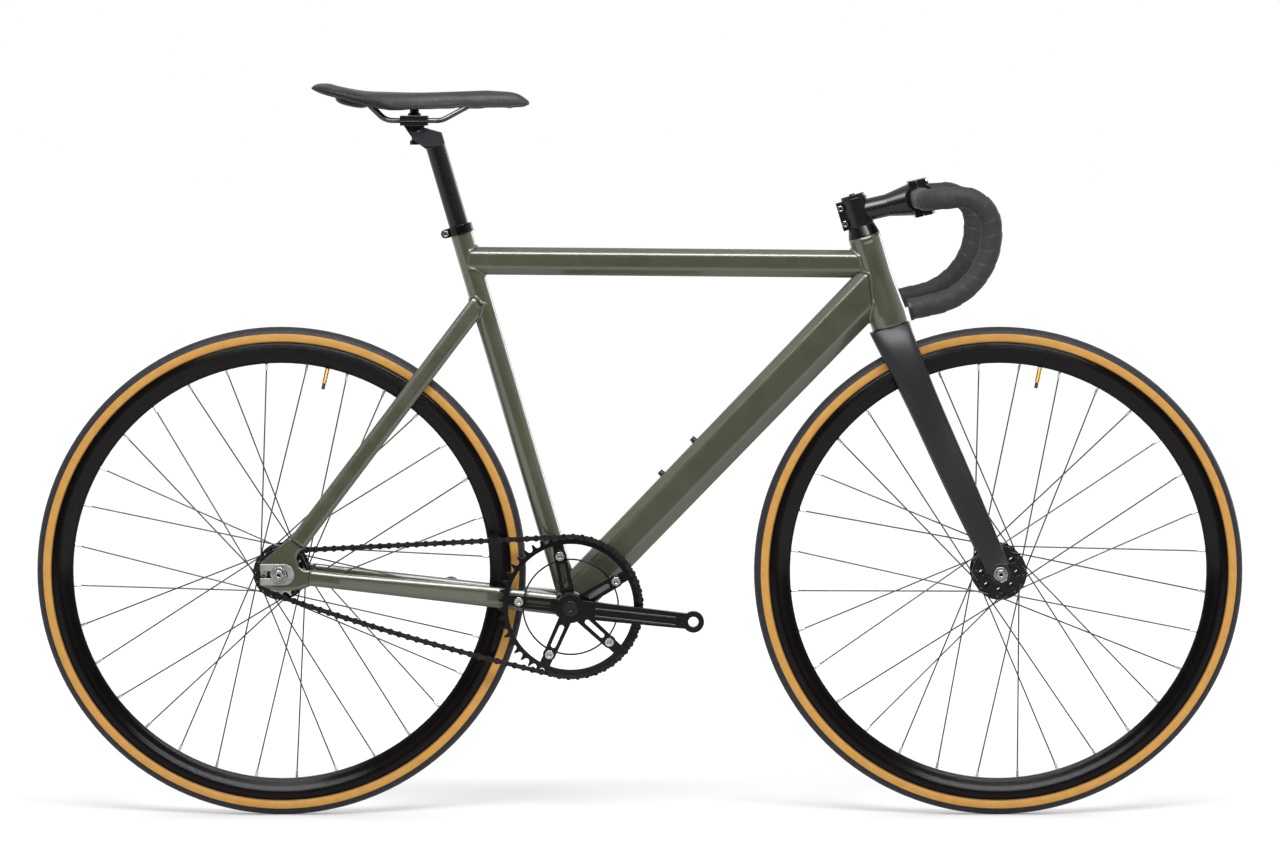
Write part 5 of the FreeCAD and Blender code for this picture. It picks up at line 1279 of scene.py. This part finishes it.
@dataclass
class Studio:
    """White floor and backdrop, soft lamps and the camera.

    A row of the glow holds the distances that a step runs between, and what it gives before and after.
    """

    lens: float = 170.5
    sensor: float = 36.0
    sight: float = 200.0
    camera_at: Place = (-0.0135, -8.387, 1.000)
    camera_to: Place = (0.0, 0.0, 0.5396)
    floor_far: float = 60.0
    floor_front: float = -3.0
    floor_tones: tuple[Colour, Colour] = ((0.80, 0.80, 0.80, 1.0), (0.82, 0.82, 0.82, 1.0))
    glow_stretch: Place = (0.8, 2.5, 0.0)
    glow_near: tuple[float, float, tuple[float, float]] = (0.7, 1.6, (0.14, 0.27))
    glow_far: tuple[float, float, tuple[float, float]] = (1.6, 5.0, (0.0, 0.13))
    world_fade: tuple[float, float, tuple[float, float]] = (-0.95, 0.05, (0.04, 1.0))
    lamps: tuple[Lamp, ...] = (
        Lamp("long_strip", (0.0, -1.9, 3.0), (0.0, 0.0, 0.7), (3.6, 1.5), 260.0, gloss_only=True),
        Lamp("side_box", (3.4, 3.4, 1.3), (0.0, 0.0, 0.7), (1.4, 2.6), 60.0, gloss_only=True),
        Lamp("front_box", (0.4, -3.6, 4.0), (0.0, 0.0, 0.5), (4.0, 1.8), 200.0),
    )

    def floor(self) -> None:
        """Wide pale floor that keeps the shadow, lifted to white where it is seen or mirrored."""
        far, near = self.floor_far, self.floor_front
        corners = [(-far, near, 0), (far, near, 0), (far, far, 0), (-far, far, 0)]
        piece = mesh_piece("studio_floor", corners, faces=[(0, 1, 2, 3)])
        sketch = Sketch("pale_floor")
        sketch.drive("Base Color", sketch.blend(sketch.noise(0.6, 2.0), *self.floor_tones))
        sketch.fix(Roughness=0.9, Specular_IOR_Level=0.0, Emission_Color=WHITE)
        away = sketch.radius((0.0, 0.0, 0.0), self.glow_stretch)
        glow = sketch.sums("ADD", sketch.steps(away, *self.glow_near), sketch.steps(away, *self.glow_far))
        seen = sketch.most(("Is Camera Ray", "Is Glossy Ray", "Is Transmission Ray"))
        sketch.drive("Emission Strength", sketch.sums("MULTIPLY", seen, glow))
        piece.data.materials.append(sketch.material)

    def world(self) -> None:
        """White surroundings that fall off towards the room behind the camera."""
        world = bpy.data.worlds.new("white_studio")
        bpy.context.scene.world = world
        world.use_nodes = True
        pad = NodePad(world.node_tree)
        way = pad.split(pad.add("ShaderNodeTexCoord").outputs["Generated"])[1]
        lit = pad.most(("Is Camera Ray", "Is Transmission Ray"), pad.steps(way, *self.world_fade))
        back = world.node_tree.nodes["Background"]
        pad.feed(back.inputs["Strength"], lit)
        pad.feed(back.inputs["Color"], WHITE)

    def camera(self) -> None:
        """Long lens seen square from the drive side."""
        lens = bpy.data.cameras.new("side_view")
        lens.sensor_width = self.sensor
        lens.lens = self.lens
        lens.clip_end = self.sight
        bpy.context.scene.camera = aimed("side_view", lens, self.camera_at, self.camera_to)

    def build(self) -> None:
        """Sets up the whole studio."""
        bpy.context.scene.view_settings.view_transform = "Standard"
        self.floor()
        self.world()
        for lamp in self.lamps:
            lamp.hang()
        self.camera()


def finishes() -> dict[str, bpy.types.Material]:
    """Makes the shared finishes.

    Returns:
        Every material by name.
    """
    alloy = (tone(15, 14, 15), tone(20, 19, 20), 0.26, 0.32, 0.0014)
    made = [
        GlossPaint("frame_paint", tone(66, 69, 48), tone(60, 63, 44), 0.85),
        SatinPaint("fork_black", tone(32, 31, 34), tone(38, 37, 40), 0.4, 0.24),
        SatinPaint("black_alloy", *alloy),
        SatinPaint("seatpost_black", *alloy, head=tone(50, 51, 54), head_from=0.927),
        SatinPaint("polished_black", tone(12, 10, 11), tone(16, 14, 15), 0.17, 0.2, 0.0012),
        SatinPaint("rim_black", tone(12, 9, 9), tone(16, 13, 13), 0.13, 0.13, 0.008),
        SatinPaint("hub_black", tone(14, 13, 14), tone(19, 18, 19), 0.25, 0.3),
        SatinPaint("moulded_black", tone(24, 23, 25), tone(31, 30, 32), 0.5, 0.25),
        WornMetal("bright_steel", tone(196, 194, 190), tone(160, 158, 154), 0.2),
        WornMetal("brushed_plate", tone(172, 170, 166), tone(146, 144, 140), 0.34, (0.12, 1.0, 1.0)),
        WornMetal("dark_steel", tone(70, 70, 72), tone(48, 48, 50), 0.34),
        WornMetal("spoke_wire", tone(66, 66, 68), tone(50, 50, 52), 0.36, metallic=0.5),
        WornMetal("nickel_brass", tone(205, 203, 196), tone(176, 172, 160), 0.25),
        ChainSteel("chain_black", tone(48, 47, 46), tone(30, 29, 29)),
        GrainedCover("bar_tape_cover", tone(57, 54, 55), tone(50, 47, 48), 700.0, 0.66, 0.14),
        GrainedCover("saddle_leather", tone(60, 59, 62), tone(55, 54, 57), 1600.0, 0.5, 0.14, 0.00004,
                     panel=tone(37, 34, 36)),
        GrainedCover("sewing_thread", tone(58, 57, 60), tone(50, 49, 52), 2500.0, 0.6),
    ]
    return {finish.name: finish.dress() for finish in made}


PAINTED: dict[str, tuple[str, ...]] = {
    "frame_paint": ("head_tube", "top_tube", "down_tube", "seat_tube", "bottom_bracket_shell",
                    "seatstay_right", "seatstay_left", "chainstay_right", "chainstay_left", "dropout_right",
                    "dropout_left"),
    "fork_black": ("fork",),
    "black_alloy": ("stem", "stem_faceplate", "stem_top_cap", "handlebar", "saddle_clamp", "crank_bolts"),
    "seatpost_black": ("seatpost",),
    "polished_black": ("crank_arm_right", "crank_arm_left", "chainring", "bottom_bracket_cups", "seat_collar",
                       "headset_cover"),
    "bright_steel": ("rear_axle", "rear_axle_bolts", "front_axle", "front_axle_bolts", "sprocket",
                     "sprocket_lockring", "chainring_bolts", "seat_collar_bolt", "stem_bolts",
                     "bottom_bracket_spindle", "headset_bearings"),
    "brushed_plate": ("dropout_plates",),
    "dark_steel": ("bottle_cage_bolts", "saddle_rails"),
    "chain_black": ("chain_inner_links", "chain_outer_links"),
    "moulded_black": ("bar_end_plugs", "bar_tape_right", "bar_tape_left", "saddle"),
}


def main() -> None:
    """Builds and dresses every piece."""
    logging.basicConfig(level=logging.INFO, format="%(name)s: %(message)s")
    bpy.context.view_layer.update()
    shared = finishes()
    for finish, nodes in PAINTED.items():
        for node in nodes:
            paint(node, shared[finish])
    Wheels().dress(shared)
    WeldedFrame().build(shared["frame_paint"])
    TapedBar().build(shared["bar_tape_cover"], shared["moulded_black"])
    PaddedSaddle().build(shared["saddle_leather"], shared["sewing_thread"], shared["moulded_black"])
    Studio().build()


if __name__ == "__main__":
    main()
